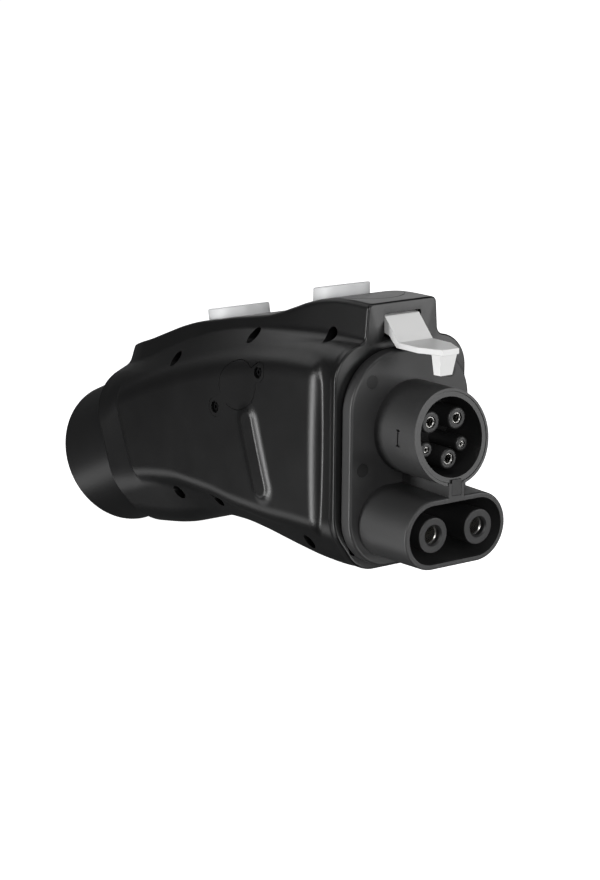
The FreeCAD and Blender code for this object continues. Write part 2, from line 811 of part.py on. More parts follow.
print("housing")
left_base = body_half(0.0, 0.0)
left_panel = panel_half_solid(0.0, 0.0)
rib_pad = capsule_yz(rib_a, rib_b, rib_r, -panel_half - rib_rise, -panel_half + rib_base)
pad_edges = [e for e in rib_pad.Edges if e.BoundBox.XMax < -panel_half - rib_rise + 0.01]
rib_pad = rib_pad.makeFillet(rib_round, pad_edges)
outer_plain = left_base.fuse(left_panel)
outer = outer_plain.fuse(rib_pad).removeSplitter()
inner_base = body_half(wall, -over)
inner_panel = panel_half_solid(panel_inner, -over)
front_keep = box(-far, far, 0, housing_front + front_wall, -2 * far, far)
rear_keep = inlet_rod(2 * far, 0.0, collar_end + rear_wall)
cavity = fuse_all([inner_base, inner_panel]).cut([front_keep, rear_keep])
inlet_hole = inlet_rod(inlet_r + inlet_clear, collar_end - over, inlet_inner_end + 1.0)
shell = outer.cut([cavity, inlet_hole])

retainer = inlet_rod(far, inlet_rib[0], inlet_rib[1])
retainer = retainer.cut(inlet_rod(inlet_rib_r, inlet_rib[0] - 1, inlet_rib[1] + 1))
retainer = retainer.common(outer)

# Pads and bosses that both halves carry.
shelf = placed(box(-far, -shelf_inner, -shelf_half_y, shelf_half_y, shelf_low, shelf_top), start_place())
shelf_slot = placed(box(-switch_board_half_x - seat_gap, 0, -far, far, switch_board_top - switch_board_thick
                        - seat_gap, switch_board_top + seat_gap), start_place())
spring_seat = box(-far, 0, latch_spring_y - spring_seat_half, latch_spring_y + spring_seat_half,
                  latch_spring_low_z - spring_seat_thick, latch_spring_low_z)
pin_pad = rod(pivot_r + pin_pad_wall, Vec(-far, pivot_y, pivot_z), across, far - latch_half - slide_gap)
pads = [shelf.cut(shelf_slot), spring_seat, pin_pad]
flange_boss_len = flange_screw_end + flange_boss_floor - housing_front
for x, z in flange_screw_at:
    pads.append(rod(flange_boss_r, Vec(-x, housing_front, z), along_y, flange_boss_len))
inner_bosses = []
for y, z, seat in screw_at:
    inner_bosses.append(rod(boss_inner_r, Vec(-far, y, z), across, far))
common_pads = [p.common(outer) for p in pads + inner_bosses]

# Openings that both halves share.
slot_cut = box(-slot_half, slot_half, 0, housing_front + front_wall + 1, slot_low_z, slot_top_z)
release_hole = rod(release_r + slide_gap, Vec(0, release_y, release_low_z - 4.0), upward, far)
start_hole = placed(rod(start_r + slide_gap, Vec(0, 0, -9.0), upward, far), start_place())
spigot_hole = spigot_shape(panel_gap, housing_front - 1, housing_front + front_wall + 1)
pin_hole = rod(pivot_r + seat_gap, Vec(-pivot_half - seat_gap, pivot_y, pivot_z), across, 2 * pivot_half)
shared_cuts = [slot_cut, release_hole, start_hole, spigot_hole, pin_hole]
for x, z in flange_screw_at:
    shared_cuts.append(rod(flange_screw_r + seat_gap, Vec(-x, 0, z), along_y, flange_screw_end + 0.5))

half = fuse_all([shell, retainer] + common_pads)
half = half.cut(shared_cuts)
right_half = mirrored(half)
right_cuts = []
for y, z, seat in screw_at:
    right_cuts.append(rod(screw_pilot_r, Vec(-1, y, z), across, screw_reach + 2.0))
right_half = right_half.cut(right_cuts)

left_adds = []
left_cuts = []
screws = []
for y, z, seat in screw_at:
    left_adds.append(rod(boss_outer_r, Vec(-far, y, z), across, far - seat + boss_floor).common(outer))
    left_cuts.append(rod(screw_recess_r, Vec(-far, y, z), across, far - seat))
    left_cuts.append(rod(screw_hole_r, Vec(-seat - 1, y, z), across, seat + 2))
    screws.append(screw(screw_head_r, screw_head_h, screw_r, seat + screw_reach, Vec(-seat, y, z), across))

# Posts of the control board and pads of the hatch screws.
for along, up in post_at:
    spot = board_place().multVec(Vec(0, along, up))
    left_adds.append(rod(post_r, Vec(-far, spot.y, spot.z), across, far + board_x).common(outer))
    left_cuts.append(rod(post_hole_r, Vec(board_x - post_hole_depth, spot.y, spot.z), across,
                         post_hole_depth + 1.0))
hatch_seats = []
for y, z in hatch_screw_at:
    face_x = surface_x(outer_plain, y, z)
    hatch_seats.append((face_x + hatch_screw_sink, y, z))
    hatch_boss = rod(hatch_boss_r, Vec(-far, y, z), across, far + face_x + hatch_boss_depth)
    left_adds.append(hatch_boss.common(outer))
    left_cuts.append(rod(hatch_screw_r + seat_gap, Vec(face_x + 1, y, z), across, hatch_screw_len + 0.5))
left_half = fuse_all([half] + left_adds)

door_zone = hatch_shape(0.0, -far, -panel_half + hatch_pocket_depth)
door_hole = hatch_shape(panel_gap, -far, -panel_half + hatch_pocket_depth)
skin_base = body_half(hatch_thick, -over)
skin_panel = panel_half_solid(hatch_thick, -over)
skin_core = skin_base.fuse(skin_panel)
seat_core = body_half(hatch_thick + seat_gap, -over).fuse(panel_half_solid(hatch_thick + seat_gap, -over))
door = outer_plain.common(door_zone).cut(skin_core)
door_pocket = outer_plain.common(door_hole).cut(seat_core)
oval_window = hatch_window()
door_cuts = []
for face_x, y, z in hatch_seats:
    door_cuts.append(rod(hatch_recess_r, Vec(-far, y, z), across, far + face_x))
    door_cuts.append(rod(hatch_screw_r + panel_gap, Vec(-far, y, z), across, far))
door = door.cut(door_cuts)
left_half = left_half.cut(left_cuts + [door_pocket, oval_window])
save("housing_left", left_half)
save("housing_right", right_half)
save("service_hatch", door)
save("housing_screws", Part.makeCompound(screws))
save("hatch_screws", Part.makeCompound([
    screw(hatch_screw_head_r, hatch_screw_head_h, hatch_screw_r, hatch_screw_len - 1.0, Vec(x, y, z), across)
    for x, y, z in hatch_seats]))

print("plug shroud")
plate = y_face(flange_wire(0.0, flange_front), flange_front, flange_back)
plate = plate.makeFillet(flange_edge_r, edges_at_y(plate, flange_front))
tube = rod(barrel_r, Vec(0, -far / 2, 0), along_y, far / 2 + flange_back)
tube = tube.cut(rim_cutter(0.0))
root_y = flange_front + 1.0
dc_outlines = [obround_wire(dc_block_r, dc_face_y), obround_wire(dc_block_base_r, root_y)]
dc_block = Part.makeLoft(dc_outlines, True, True)
dc_block = dc_block.makeFillet(dc_rim_round, edges_at_y(dc_block, dc_face_y))
neck = box(-neck_half, neck_half, dc_face_y, root_y, dc_z + dc_block_r - 2.0, -barrel_r + 2.0)
spigot = spigot_shape(0.0, flange_back - 1.0, housing_front + spigot_depth)
shroud = fuse_all([plate, tube, dc_block, neck, spigot])
tab_slot = box(-tab_half - tab_gap, tab_half + tab_gap, -far, insert_tab_end + tab_gap, tab_low_z - tab_gap,
               -barrel_bore_r + 2.0)
slit = box(-barrel_r - 1, -barrel_bore_r + 0.2, slit_y - slit_width / 2, slit_y + slit_width / 2,
           -slit_half, slit_half)
slit_ends = [box(-barrel_r - 1, -barrel_bore_r + 0.2, slit_y - slit_serif / 2, slit_y + slit_serif / 2,
                 z - slit_width / 2, z + slit_width / 2) for z in (-slit_half, slit_half)]
shroud_cuts = [
    rod(barrel_bore_r, Vec(0, -far, 0), along_y, far + barrel_step_y),
    rod(barrel_tail_r, Vec(0, 0, 0), along_y, far),
    obround(dc_block_r - dc_wall, dc_face_y - 1.0, dc_floor_y),
    obround(dc_carrier_r + seat_gap, dc_floor_y + dc_floor_thick, far),
    tab_slot,
    slit,
] + slit_ends
for x in (-dc_x, dc_x):
    shroud_cuts.append(rod(dc_sleeve_r + panel_gap, Vec(x, 0, dc_z), along_y, far))
for x, z in flange_screw_at:
    for side in (-x, x):
        shroud_cuts.append(rod(flange_plug_r + seat_gap, Vec(side, flange_front - 1, z), along_y,
                               flange_plug_thick + flange_screw_head_h + 1 + panel_gap))
        shroud_cuts.append(rod(flange_screw_r + panel_gap, Vec(side, flange_front, z), along_y, far))
shroud = shroud.cut(shroud_cuts)

gasket = y_face(flange_wire(gasket_inset, flange_back), flange_back, housing_front)
gasket = gasket.cut(spigot_shape(panel_gap, 0, far))
gasket = gasket.cut([rod(flange_screw_r + panel_gap, Vec(side, 0, z), along_y, far)
                     for x, z in flange_screw_at for side in (-x, x)])

plugs = []
flange_screws = []
for x, z in flange_screw_at:
    for side in (-x, x):
        seat_y = flange_front + flange_plug_thick + flange_screw_head_h + panel_gap
        plugs.append(rod(flange_plug_r, Vec(side, flange_front, z), along_y, flange_plug_thick))
        flange_screws.append(screw(flange_screw_head_r, flange_screw_head_h, flange_screw_r,
                                   flange_screw_end - seat_y, Vec(side, seat_y, z), along_y))

print("contacts")
ring = rod(insert_r, Vec(0, -far / 2, 0), along_y, far / 2 + barrel_step_y - seat_gap)
ring = ring.cut(rim_cutter(insert_recess))
ring = ring.cut(rod(insert_bore_r, Vec(0, -far, 0), along_y, far + insert_floor_y))
tab = box(-tab_half, tab_half, dc_face_y, insert_tab_end, tab_low_z, -insert_bore_r - tab_root)
tail_start = insert_floor_y + 1
tail = rod(barrel_tail_r - panel_gap, Vec(0, tail_start, 0), along_y, insert_tail_y - tail_start)
insert_parts = [ring, tab, tail]
insert_cuts = []
contact_nodes = {}
contact_list = [
    ("line_contact_left", -power_x, power_z, power_sleeve, power_contact_r, power_bore_r),
    ("line_contact_right", power_x, power_z, power_sleeve, power_contact_r, power_bore_r),
    ("earth_contact", 0.0, earth_z, earth_sleeve, power_contact_r, power_bore_r),
    ("proximity_contact", -pilot_x, pilot_z, pilot_sleeve, pilot_contact_r, pilot_bore_r),
    ("pilot_contact", pilot_x, pilot_z, pilot_sleeve, pilot_contact_r, pilot_bore_r),
]
for name, x, z, (outer_r, face_y), contact_r, bore_r in contact_list:
    sleeve = rod(outer_r, Vec(x, face_y, z), along_y, insert_floor_y + 1 - face_y)
    insert_parts.append(sleeve.makeFillet(sleeve_round, edges_at_y(sleeve, face_y)))
    insert_cuts.append(rod(contact_r + seat_gap, Vec(x, face_y - 1, z), along_y, far))
    front = face_y + contact_recess
    ease = contact_r * 0.12
    length = insert_tail_y - front
    whole = contact_tail_y - front
    profile = [(contact_r - ease, 0), (contact_r, ease), (contact_r, length), (contact_tail_r, length),
               (contact_tail_r, whole), (0, whole), (0, contact_bore_depth), (bore_r, contact_bore_depth),
               (bore_r, ease), (bore_r + ease, 0)]
    contact_nodes[name] = turned(profile, Vec(x, front, z), along_y)
insert = fuse_all(insert_parts).cut(insert_cuts)

carrier_y = dc_floor_y + dc_floor_thick
carrier_back = carrier_y + dc_carrier_thick
carrier_parts = [obround(dc_carrier_r, carrier_y, carrier_back)]
carrier_cuts = []
for side, name in ((-dc_x, "dc_contact_left"), (dc_x, "dc_contact_right")):
    sleeve = rod(dc_sleeve_r, Vec(side, dc_face_y, dc_z), along_y, carrier_y - dc_face_y + 1)
    carrier_parts.append(sleeve.makeFillet(dc_sleeve_round, edges_at_y(sleeve, dc_face_y)))
    mouth = [(0, -1), (dc_mouth_r + dc_mouth_ease + 1, -1), (dc_mouth_r, dc_mouth_ease),
             (dc_mouth_r, dc_mouth_depth), (0, dc_mouth_depth)]
    carrier_cuts.append(turned(mouth, Vec(side, dc_face_y, dc_z), along_y))
    contact_seat = Vec(side, dc_contact_face - seat_gap, dc_z)
    carrier_cuts.append(rod(dc_contact_r + seat_gap, contact_seat, along_y, far))
    body = rod(dc_contact_r, Vec(side, dc_contact_face, dc_z), along_y, carrier_back + 2 - dc_contact_face)
    lug = box(side - dc_lug_half, side + dc_lug_half, carrier_back, dc_lug_end, dc_z - dc_lug_thick / 2,
              dc_z + dc_lug_thick / 2)
    contact = fuse_all([body, lug])
    bore = [(0, -1), (dc_contact_bore + dc_bore_ease, -1), (dc_contact_bore + dc_bore_ease, 0),
            (dc_contact_bore, dc_bore_ease), (dc_contact_bore, dc_bore_depth),
            (0, dc_bore_depth + dc_bore_point)]
    contact_nodes[name] = contact.cut([
        turned(bore, Vec(side, dc_contact_face, dc_z), along_y),
        rod(bolt_r + bolt_clear, Vec(side, dc_bolt_y, dc_z - far), upward, 2 * far)])
carrier = fuse_all(carrier_parts).cut(carrier_cuts)

print("latch")
hub = rod(pivot_hub_r, Vec(-latch_half, pivot_y, pivot_z), across, 2 * latch_half)
front_top = [(latch_tip_y, latch_plate_top), (latch_plate_y, latch_plate_top)] + latch_neck
front_top.append((pivot_y, pivot_z + pivot_hub_r))
front_low = [(pivot_y, pivot_z - pivot_hub_r)] + latch_throat
front_low.append((latch_plate_y + 1.6, latch_plate_low))
front_low.append((latch_tip_y, latch_plate_low))
latch_front = prism_x(front_top + front_low, -latch_half, latch_half)
plan = [Vec(-latch_nose_half, latch_tip_y - 0.01, 0), Vec(latch_nose_half, latch_tip_y - 0.01, 0),
        Vec(latch_half + 0.01, latch_taper_y, 0), Vec(latch_half + 0.01, far * 2, 0),
        Vec(-latch_half - 0.01, far * 2, 0), Vec(-latch_half - 0.01, latch_taper_y, 0)]
plan_solid = Part.Face(Part.makePolygon(plan + [plan[0]])).extrude(Vec(0, 0, 2 * far))
latch_front = latch_front.common(plan_solid)
flat_edges = []
for edge in latch_front.Edges:
    bounds = edge.BoundBox
    runs_back = bounds.YMax - bounds.YMin > 2 * pivot_r
    outer_side = bounds.YMax < housing_front + latch_round and bounds.XLength < latch_half and runs_back
    nose = bounds.YMax < latch_tip_y + 0.05 and bounds.ZMin > latch_plate_top - 0.05
    if outer_side or nose:
        flat_edges.append(edge)
latch_front = latch_front.makeFillet(latch_round, flat_edges)
hook_root_z = latch_plate_low + latch_round
hook_top = [Vec(-hook_top_half, hook_top_front, hook_root_z), Vec(hook_top_half, hook_top_front, hook_root_z),
            Vec(hook_top_half, hook_back_y, hook_root_z), Vec(-hook_top_half, hook_back_y, hook_root_z)]
hook_low_back = hook_low_half + hook_splay
hook_low = [Vec(-hook_low_half, hook_front_y, hook_low_z), Vec(hook_low_half, hook_front_y, hook_low_z),
            Vec(hook_low_back, hook_back_y - hook_splay, hook_low_z),
            Vec(-hook_low_back, hook_back_y - hook_splay, hook_low_z)]
hook = Part.makeLoft([Part.makePolygon(hook_top + [hook_top[0]]), Part.makePolygon(hook_low + [hook_low[0]])],
                     True, True)
arm_outline = [(pivot_y, pivot_z + arm_root_up)] + arm_top_bends
arm_outline += [(arm_level_y, arm_top_z), (arm_end_y, arm_top_z), (arm_end_y, arm_low_z)]
arm_outline += [(arm_level_y - 2.0, arm_low_z)] + arm_low_bends + [(pivot_y, pivot_z - arm_root_down)]
arm = prism_x(arm_outline, -latch_arm_half, latch_arm_half)
lever = fuse_all([latch_front, hub, hook, arm])
lever = lever.cut(rod(pivot_r + pivot_clear, Vec(-far, pivot_y, pivot_z), across, 2 * far))
pin = rod(pivot_r, Vec(-pivot_half, pivot_y, pivot_z), across, 2 * pivot_half)
latch_spring = coil(latch_spring_r, latch_spring_wire, arm_low_z - latch_spring_low_z - 2 * seat_gap,
                    latch_spring_turns)
latch_spring.translate(Vec(0, latch_spring_y, latch_spring_low_z + seat_gap))

print("buttons")
release = dished_cap(release_r, release_top_z - release_low_z, release_wall, release_wall, release_dish)
release.translate(Vec(0, release_y, release_low_z))
stem_low = arm_top_z + stem_gap
stem_long = release_top_z - release_dish - release_wall / 2 - stem_low
stem_cone = release_stem_r - stem_tip_r
release_parts = [release, turned([(0, 0), (stem_tip_r, 0), (release_stem_r, stem_cone),
                                  (release_stem_r, stem_long), (0, stem_long)],
                                 Vec(0, release_y, stem_low), upward)]
for side in (-1, 1):
    x0 = side * (release_r - 1.0)
    x1 = side * (release_r + release_ear)
    release_parts.append(box(min(x0, x1), max(x0, x1), release_y - release_ear_half,
                             release_y + release_ear_half, release_ear_top - release_ear_thick,
                             release_ear_top))
release = fuse_all(release_parts)

start_cap = dished_cap(start_r, start_rise + start_drop, start_wall, start_wall, start_dish)
start_cap.translate(Vec(0, 0, -start_drop))
start_parts = [start_cap, rod(start_stem_r, Vec(0, 0, start_stem_end), upward,
                              start_rise - start_dish - start_wall / 2 - start_stem_end)]
for side in (-1, 1):
    y0 = side * (start_r - 1.0)
    y1 = side * start_ear_reach
    start_parts.append(box(-start_ear_half, start_ear_half, min(y0, y1), max(y0, y1),
                           start_ear_top - start_ear_thick, start_ear_top))
start = placed(fuse_all(start_parts), start_place())
spring_height = start_rise - start_dish - start_wall - switch_board_top - 2 * seat_gap
start_spring = coil(start_spring_r, start_spring_wire, spring_height, start_spring_turns)
start_spring.translate(Vec(0, 0, switch_board_top + seat_gap))
start_spring = placed(start_spring, start_place())
switch_board = placed(box(-switch_board_half_x, switch_board_half_x, -switch_board_half_y,
                          switch_board_half_y, switch_board_top - switch_board_thick, switch_board_top),
                      start_place())
switch_body = box(-switch_half, switch_half, -switch_half, switch_half, switch_board_top,
                  switch_board_top + switch_height)
switch_cap = rod(switch_cap_r, Vec(0, 0, switch_board_top), upward, switch_height + switch_cap_rise)
start_switch = placed(fuse_all([switch_body, switch_cap]), start_place())

print("inlet")
groove_a, groove_b = inlet_groove
bore = inlet_r - inlet_wall
seal_front = inlet_seal_at - seal_groove_half
seal_back = inlet_seal_at + seal_groove_half
lip_front = inlet_floor - inlet_lip_thick
barrel_profile = [(bore + inlet_rim_round * 0.6, 0), (inlet_r - inlet_rim_round, 0),
                  (inlet_r, inlet_rim_round),
                  (inlet_r, seal_front), (inlet_r - seal_groove_depth, seal_front),
                  (inlet_r - seal_groove_depth, seal_back), (inlet_r, seal_back),
                  (inlet_r, groove_a), (inlet_groove_r, groove_a), (inlet_groove_r, groove_b),
                  (inlet_r - inlet_tail_ease, groove_b), (inlet_r - inlet_tail_ease, inlet_inner_end),
                  (bore, inlet_inner_end), (bore, inlet_floor), (bore - inlet_lip, inlet_floor),
                  (bore - inlet_lip, lip_front), (bore, lip_front), (bore, inlet_rim_round * 0.6)]
inlet_barrel = turned(barrel_profile, inlet_rim, inlet_fwd)
key = inlet_box(-key_half, key_half, bore - key_depth, bore + 1.0, 2.0, inlet_floor - 1.0)
inlet_barrel = fuse_all([inlet_barrel, key])
seal_ring_r = inlet_r - inlet_seal_r - inlet_clear / 3
seal = Part.makeTorus(seal_ring_r, inlet_seal_r, inlet_point(inlet_seal_at), inlet_fwd)

block_parts = [inlet_rod(bore - block_clear, inlet_floor + seat_gap, inlet_floor_end)]
block_cuts = []
inlet_nodes = {}
sleeve_end = inlet_floor
for side, name in ((-inlet_dc_x, "left"), (inlet_dc_x, "right")):
    outer_r, inner_r = inlet_dc_shroud
    sleeve = inlet_rod(outer_r, inlet_shroud_tip, sleeve_end, side)
    inlet_nodes["inlet_dc_sleeve_" + name] = sleeve.cut(inlet_rod(inner_r, 0.0, sleeve_end + 1, side))
    block_parts.append(inlet_rod(outer_r, inlet_floor_end - 1, block_tail_end, side))
    block_cuts.append(inlet_rod(inlet_dc_r + seat_gap, inlet_floor - 1, block_tail_end + 1, side))
    pin_body = inlet_rod(inlet_dc_r, inlet_dc_tip, block_tail_end + 1, side)
    tip_edges = [e for e in pin_body.Edges
                 if abs((e.BoundBox.Center - inlet_point(inlet_dc_tip, side)).dot(inlet_fwd)) < 0.2]
    pin_body = pin_body.makeFillet(inlet_pin_round, tip_edges)
    lug = inlet_box(side - bar_half, side + bar_half, -dc_lug_thick / 2, dc_lug_thick / 2,
                    block_tail_end, inlet_lug_end)
    hole = rod(bolt_r + bolt_clear, inlet_point(inlet_bolt_at, side, -far), inlet_up, 2 * far)
    inlet_nodes["inlet_dc_pin_" + name] = fuse_all([pin_body, lug]).cut(hole)
signal_pins = []
for v, name in ((-cluster_v, "lower"), (cluster_v, "upper")):
    outer_r, inner_r = cluster_shroud
    sleeve = inlet_rod(outer_r, inlet_shroud_tip, sleeve_end, 0.0, v)
    inlet_nodes["inlet_signal_sleeve_" + name] = sleeve.cut(inlet_rod(inner_r, 0.0, sleeve_end + 1, 0.0, v))
    for i in range(cluster_pins):
        angle = math.radians(45 + 360 / cluster_pins * i)
        u = cluster_pin_ring * math.cos(angle)
        w = v + cluster_pin_ring * math.sin(angle)
        block_cuts.append(inlet_rod(cluster_pin_r + seat_gap, inlet_floor - 1, inlet_floor_end + 1, u, w))
        shaft = inlet_rod(cluster_pin_r, cluster_pin_tip, cluster_pin_tail, u, w)
        signal_pins.append(shaft)
block = fuse_all(block_parts).cut(block_cuts)

print("power path")
bar_low = dc_z + dc_lug_thick / 2
rear_start = inlet_point(bar_rear_at, 0, dc_lug_thick / 2)
rear_stop = inlet_point(bar_lift_at, 0, dc_lug_thick / 2)
bar_path = [(bar_front_y, bar_low), (bar_bend_y, bar_low), (rear_stop.y - bar_crest, rear_stop.z),
            (rear_stop.y, rear_stop.z), (rear_start.y, rear_start.z)]


def strip_outline(path, thick):
    # Outline of a bent strip lying on its path, with mitred bends.
    upper = []
    for i, (y, z) in enumerate(path):
        before = path[max(i - 1, 0)]
        after = path[min(i + 1, len(path) - 1)]
        first = (y - before[0], z - before[1]) if i > 0 else (after[0] - y, after[1] - z)
        second = (after[0] - y, after[1] - z) if i < len(path) - 1 else first
        l1 = math.hypot(first[0], first[1])
        l2 = math.hypot(second[0], second[1])
        ny = -first[1] / l1 - second[1] / l2
        nz = first[0] / l1 + second[0] / l2
        size = math.hypot(ny, nz)
        stretch = thick / (size / 2)
        upper.append((y + ny / size * stretch, z + nz / size * stretch))
    return list(path) + list(reversed(upper))


bars = {}
for side, name in ((-dc_x, "busbar_left"), (dc_x, "busbar_right")):
    bar = prism_x(strip_outline(bar_path, bar_thick), side - bar_half, side + bar_half)
    bars[name] = bar.cut([
        rod(bolt_r + bolt_clear, Vec(side, dc_bolt_y, dc_z), upward, far),
        rod(bolt_r + bolt_clear, inlet_point(inlet_bolt_at, side, 0), inlet_up, far)])
bolts = []
nuts = []
bolt_len = dc_lug_thick + bar_thick + bolt_nut_h + bolt_past_nut
for side in (-dc_x, dc_x):
    for base, direction in ((Vec(side, dc_bolt_y, dc_z + dc_lug_thick / 2 + bar_thick), upward * -1),
                            (inlet_point(inlet_bolt_at, side, dc_lug_thick / 2 + bar_thick), inlet_up * -1)):
        head = hexagon(bolt_head_r, base, direction * -1, bolt_head_h)
        bolts.append(fuse_all([head, rod(bolt_r, base, direction, bolt_len)]))
        nut_base = base + direction * (dc_lug_thick + bar_thick)
        nut = hexagon(bolt_head_r, nut_base, direction, bolt_nut_h)
        nuts.append(nut.cut(rod(bolt_r + 0.02, nut_base - direction, direction, bolt_nut_h + 2)))

print("electronics")
board = box(board_x, board_x + board_thick, -board_half_along, board_half_along, -board_half_up,
            board_half_up)
board_hole_r = post_hole_r + bolt_clear
board = board.cut([rod(board_hole_r, Vec(board_x - 1, a, u), across, board_thick + 2) for a, u in post_at])
board = placed(board, board_place())
board_screws = []
for a, u in post_at:
    seat = board_place().multVec(Vec(board_x + board_thick, a, u))
    board_screws.append(screw(board_screw_head_r, board_screw_head_h, post_hole_r - seat_gap, board_screw_len,
                              seat, across * -1))
chips = []
for a, u, half_a, half_u, tall in chip_sizes:
    chips.append(placed(box(board_x - tall, board_x, a - half_a, a + half_a, u - half_u, u + half_u),
                        board_place()))
socket = box(socket_reach, board_x, socket_along - socket_half_along, socket_along + socket_half_along,
             socket_up - socket_half_up, socket_up + socket_half_up)
socket_hole = box(socket_reach - 1, board_x - 4.0, socket_along - socket_half_along + socket_shell,
                  socket_along + socket_half_along - socket_shell,
                  socket_up - socket_half_up + socket_shell, socket_up + socket_half_up - socket_shell)
tongue_half = socket_half_along - socket_tongue_inset
tongue = box(socket_reach + 1.0, board_x - 3.0, socket_along - tongue_half, socket_along + tongue_half,
             socket_up - socket_tongue / 2, socket_up + socket_tongue / 2)
socket = placed(fuse_all([socket.cut(socket_hole), tongue]), board_place())
tray_x = board_x + board_thick
tray = box(tray_x, cell_x, -cradle_half, cradle_half, -cell_r - cradle_wall, cell_r + cradle_wall)
cell_space = rod(cell_r + 0.1, Vec(cell_x, -cell_half - 0.1, 0), along_y, 2 * cell_half + cell_cap + 0.2)
tray = placed(tray.cut(cell_space), board_place())
cell = fuse_all([rod(cell_r, Vec(cell_x, -cell_half, 0), along_y, 2 * cell_half),
                 rod(cell_cap_r, Vec(cell_x, cell_half - 1, 0), along_y, cell_cap + 1)])
cell = placed(cell, board_place())

print("writing")
save("plug_shroud", shroud)
save("flange_gasket", gasket)
save("flange_plugs", Part.makeCompound(plugs))
save("flange_screws", Part.makeCompound(flange_screws))
save("contact_insert", insert)
save("dc_contact_carrier", carrier)
save("latch_lever", lever)
save("latch_pin", pin)
save("latch_spring", latch_spring)
save("release_button", release)
save("start_button", start)
save("start_spring", start_spring)
save("start_switch", start_switch)
save("switch_board", switch_board)
save("inlet_barrel", inlet_barrel)
save("inlet_seal", seal)
save("inlet_contact_block", block)
save("inlet_signal_pins", Part.makeCompound(signal_pins))
save("terminal_bolts", Part.makeCompound(bolts))
save("terminal_nuts", Part.makeCompound(nuts))
save("control_board", board)
save("board_screws", Part.makeCompound(board_screws))
save("board_chips", Part.makeCompound(chips))
save("service_socket", socket)
save("cell_tray", tray)
save("backup_cell", cell)
for group in (contact_nodes, inlet_nodes, bars):
    for name, shape in group.items():
        save(name, shape)
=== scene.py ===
import math

import bpy
import numpy as np
from mathutils import Matrix, Vector


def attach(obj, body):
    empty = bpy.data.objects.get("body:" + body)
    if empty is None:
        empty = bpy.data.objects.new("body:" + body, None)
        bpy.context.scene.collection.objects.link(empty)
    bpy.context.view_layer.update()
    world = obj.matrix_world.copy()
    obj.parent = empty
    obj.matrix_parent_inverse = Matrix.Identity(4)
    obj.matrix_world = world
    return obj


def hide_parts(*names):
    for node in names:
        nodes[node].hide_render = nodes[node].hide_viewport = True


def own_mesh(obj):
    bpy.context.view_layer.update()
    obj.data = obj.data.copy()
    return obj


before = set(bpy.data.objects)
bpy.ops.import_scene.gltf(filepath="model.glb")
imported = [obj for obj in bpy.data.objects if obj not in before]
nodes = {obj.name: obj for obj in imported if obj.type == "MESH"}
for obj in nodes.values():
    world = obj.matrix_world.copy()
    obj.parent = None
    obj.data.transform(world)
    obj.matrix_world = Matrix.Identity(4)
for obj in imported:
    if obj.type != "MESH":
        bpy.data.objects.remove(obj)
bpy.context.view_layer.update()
print("frame loaded", len(nodes), "nodes")

# Sizes below are in mm from the axis of the round plug barrel, as in the part's own source.
shiftY = -139.523
shiftZ = 93.305


def place(x, y, z):
    return Vector((x / 1000, (y + shiftY) / 1000, (z + shiftZ) / 1000))


def nothingSelected():
    if bpy.context.object and bpy.context.object.mode != "OBJECT":
        bpy.ops.object.mode_set(mode="OBJECT")
    bpy.ops.object.select_all(action="DESELECT")


def onlySelect(piece):
    nothingSelected()
    piece.select_set(True)
    bpy.context.view_layer.objects.active = piece


def applyAll(piece):
    onlySelect(piece)
    for modifier in list(piece.modifiers):
        bpy.ops.object.modifier_apply(modifier=modifier.name)


def settle(piece):   # puts the piece's place into its mesh
    onlySelect(piece)
    bpy.ops.object.transform_apply(location=True, rotation=True, scale=True)


def editWhole(piece):
    onlySelect(piece)
    bpy.ops.object.mode_set(mode="EDIT")
    bpy.ops.mesh.select_all(action="SELECT")


def turnOutward(piece):
    editWhole(piece)
    bpy.ops.mesh.normals_make_consistent(inside=False)
    bpy.ops.object.mode_set(mode="OBJECT")


def dress(piece, finish, sharp):   # material, and smooth shading up to an angle in degrees
    piece.data.materials.clear()
    piece.data.materials.append(finishes[finish])
    onlySelect(piece)
    bpy.ops.object.shade_smooth_by_angle(angle=math.radians(sharp))


# Camera as fitted to the photo: place in mm, angles in degrees, focal length in the photo's pixels.
studio = {
    "cameraAt": (-757.098, -872.006, 269.69),
    "yaw": 37.53, "pitch": 13.26, "roll": 0.52,
    "focalPixels": 2600, "photoWide": 600, "photoTall": 880, "sensor": 36, "farthest": 30,
    "floorSize": 9.0,
    # what the sky gives to the object, and what the camera sees of it
    "skyTint": (0.97, 0.985, 1.0, 1), "skyPower": 0.055, "skySeen": 1.0,
}
lights = {   # place, width, height and power of each soft box, and the point that it faces, in metres
    "leftStrip": ((-1.45, 0.36, -0.2), 0.44, 2.0, 29.0, (0, 0, -0.05)),   # long highlight at the panel's front
    "cameraFill": ((-0.7, -1.6, 0.5), 0.8, 0.8, 15.0, (0, 0, 0.07)),
    "rightFront": ((0.95, -1.25, 0.3), 0.8, 1.0, 11.0, (0, -0.1, 0.05)),
    "lowFront": ((0.35, -1.35, -0.8), 0.9, 0.5, 7.0, (0, -0.1, 0.05)),
    "backRight": ((0.95, 1.3, 0.5), 0.9, 0.5, 1.3, (0, 0, 0.07)),
    "backHigh": ((-0.15, 1.3, 1.05), 1.1, 0.35, 1.5, (0, 0, 0.07)),
    "lowBack": ((-0.8, 1.1, -0.85), 1.2, 0.4, 1.4, (0, 0, 0.07)),
    "overhead": ((-0.1, -0.4, 1.6), 0.9, 0.7, 5.0, (0, 0, 0.07)),
}


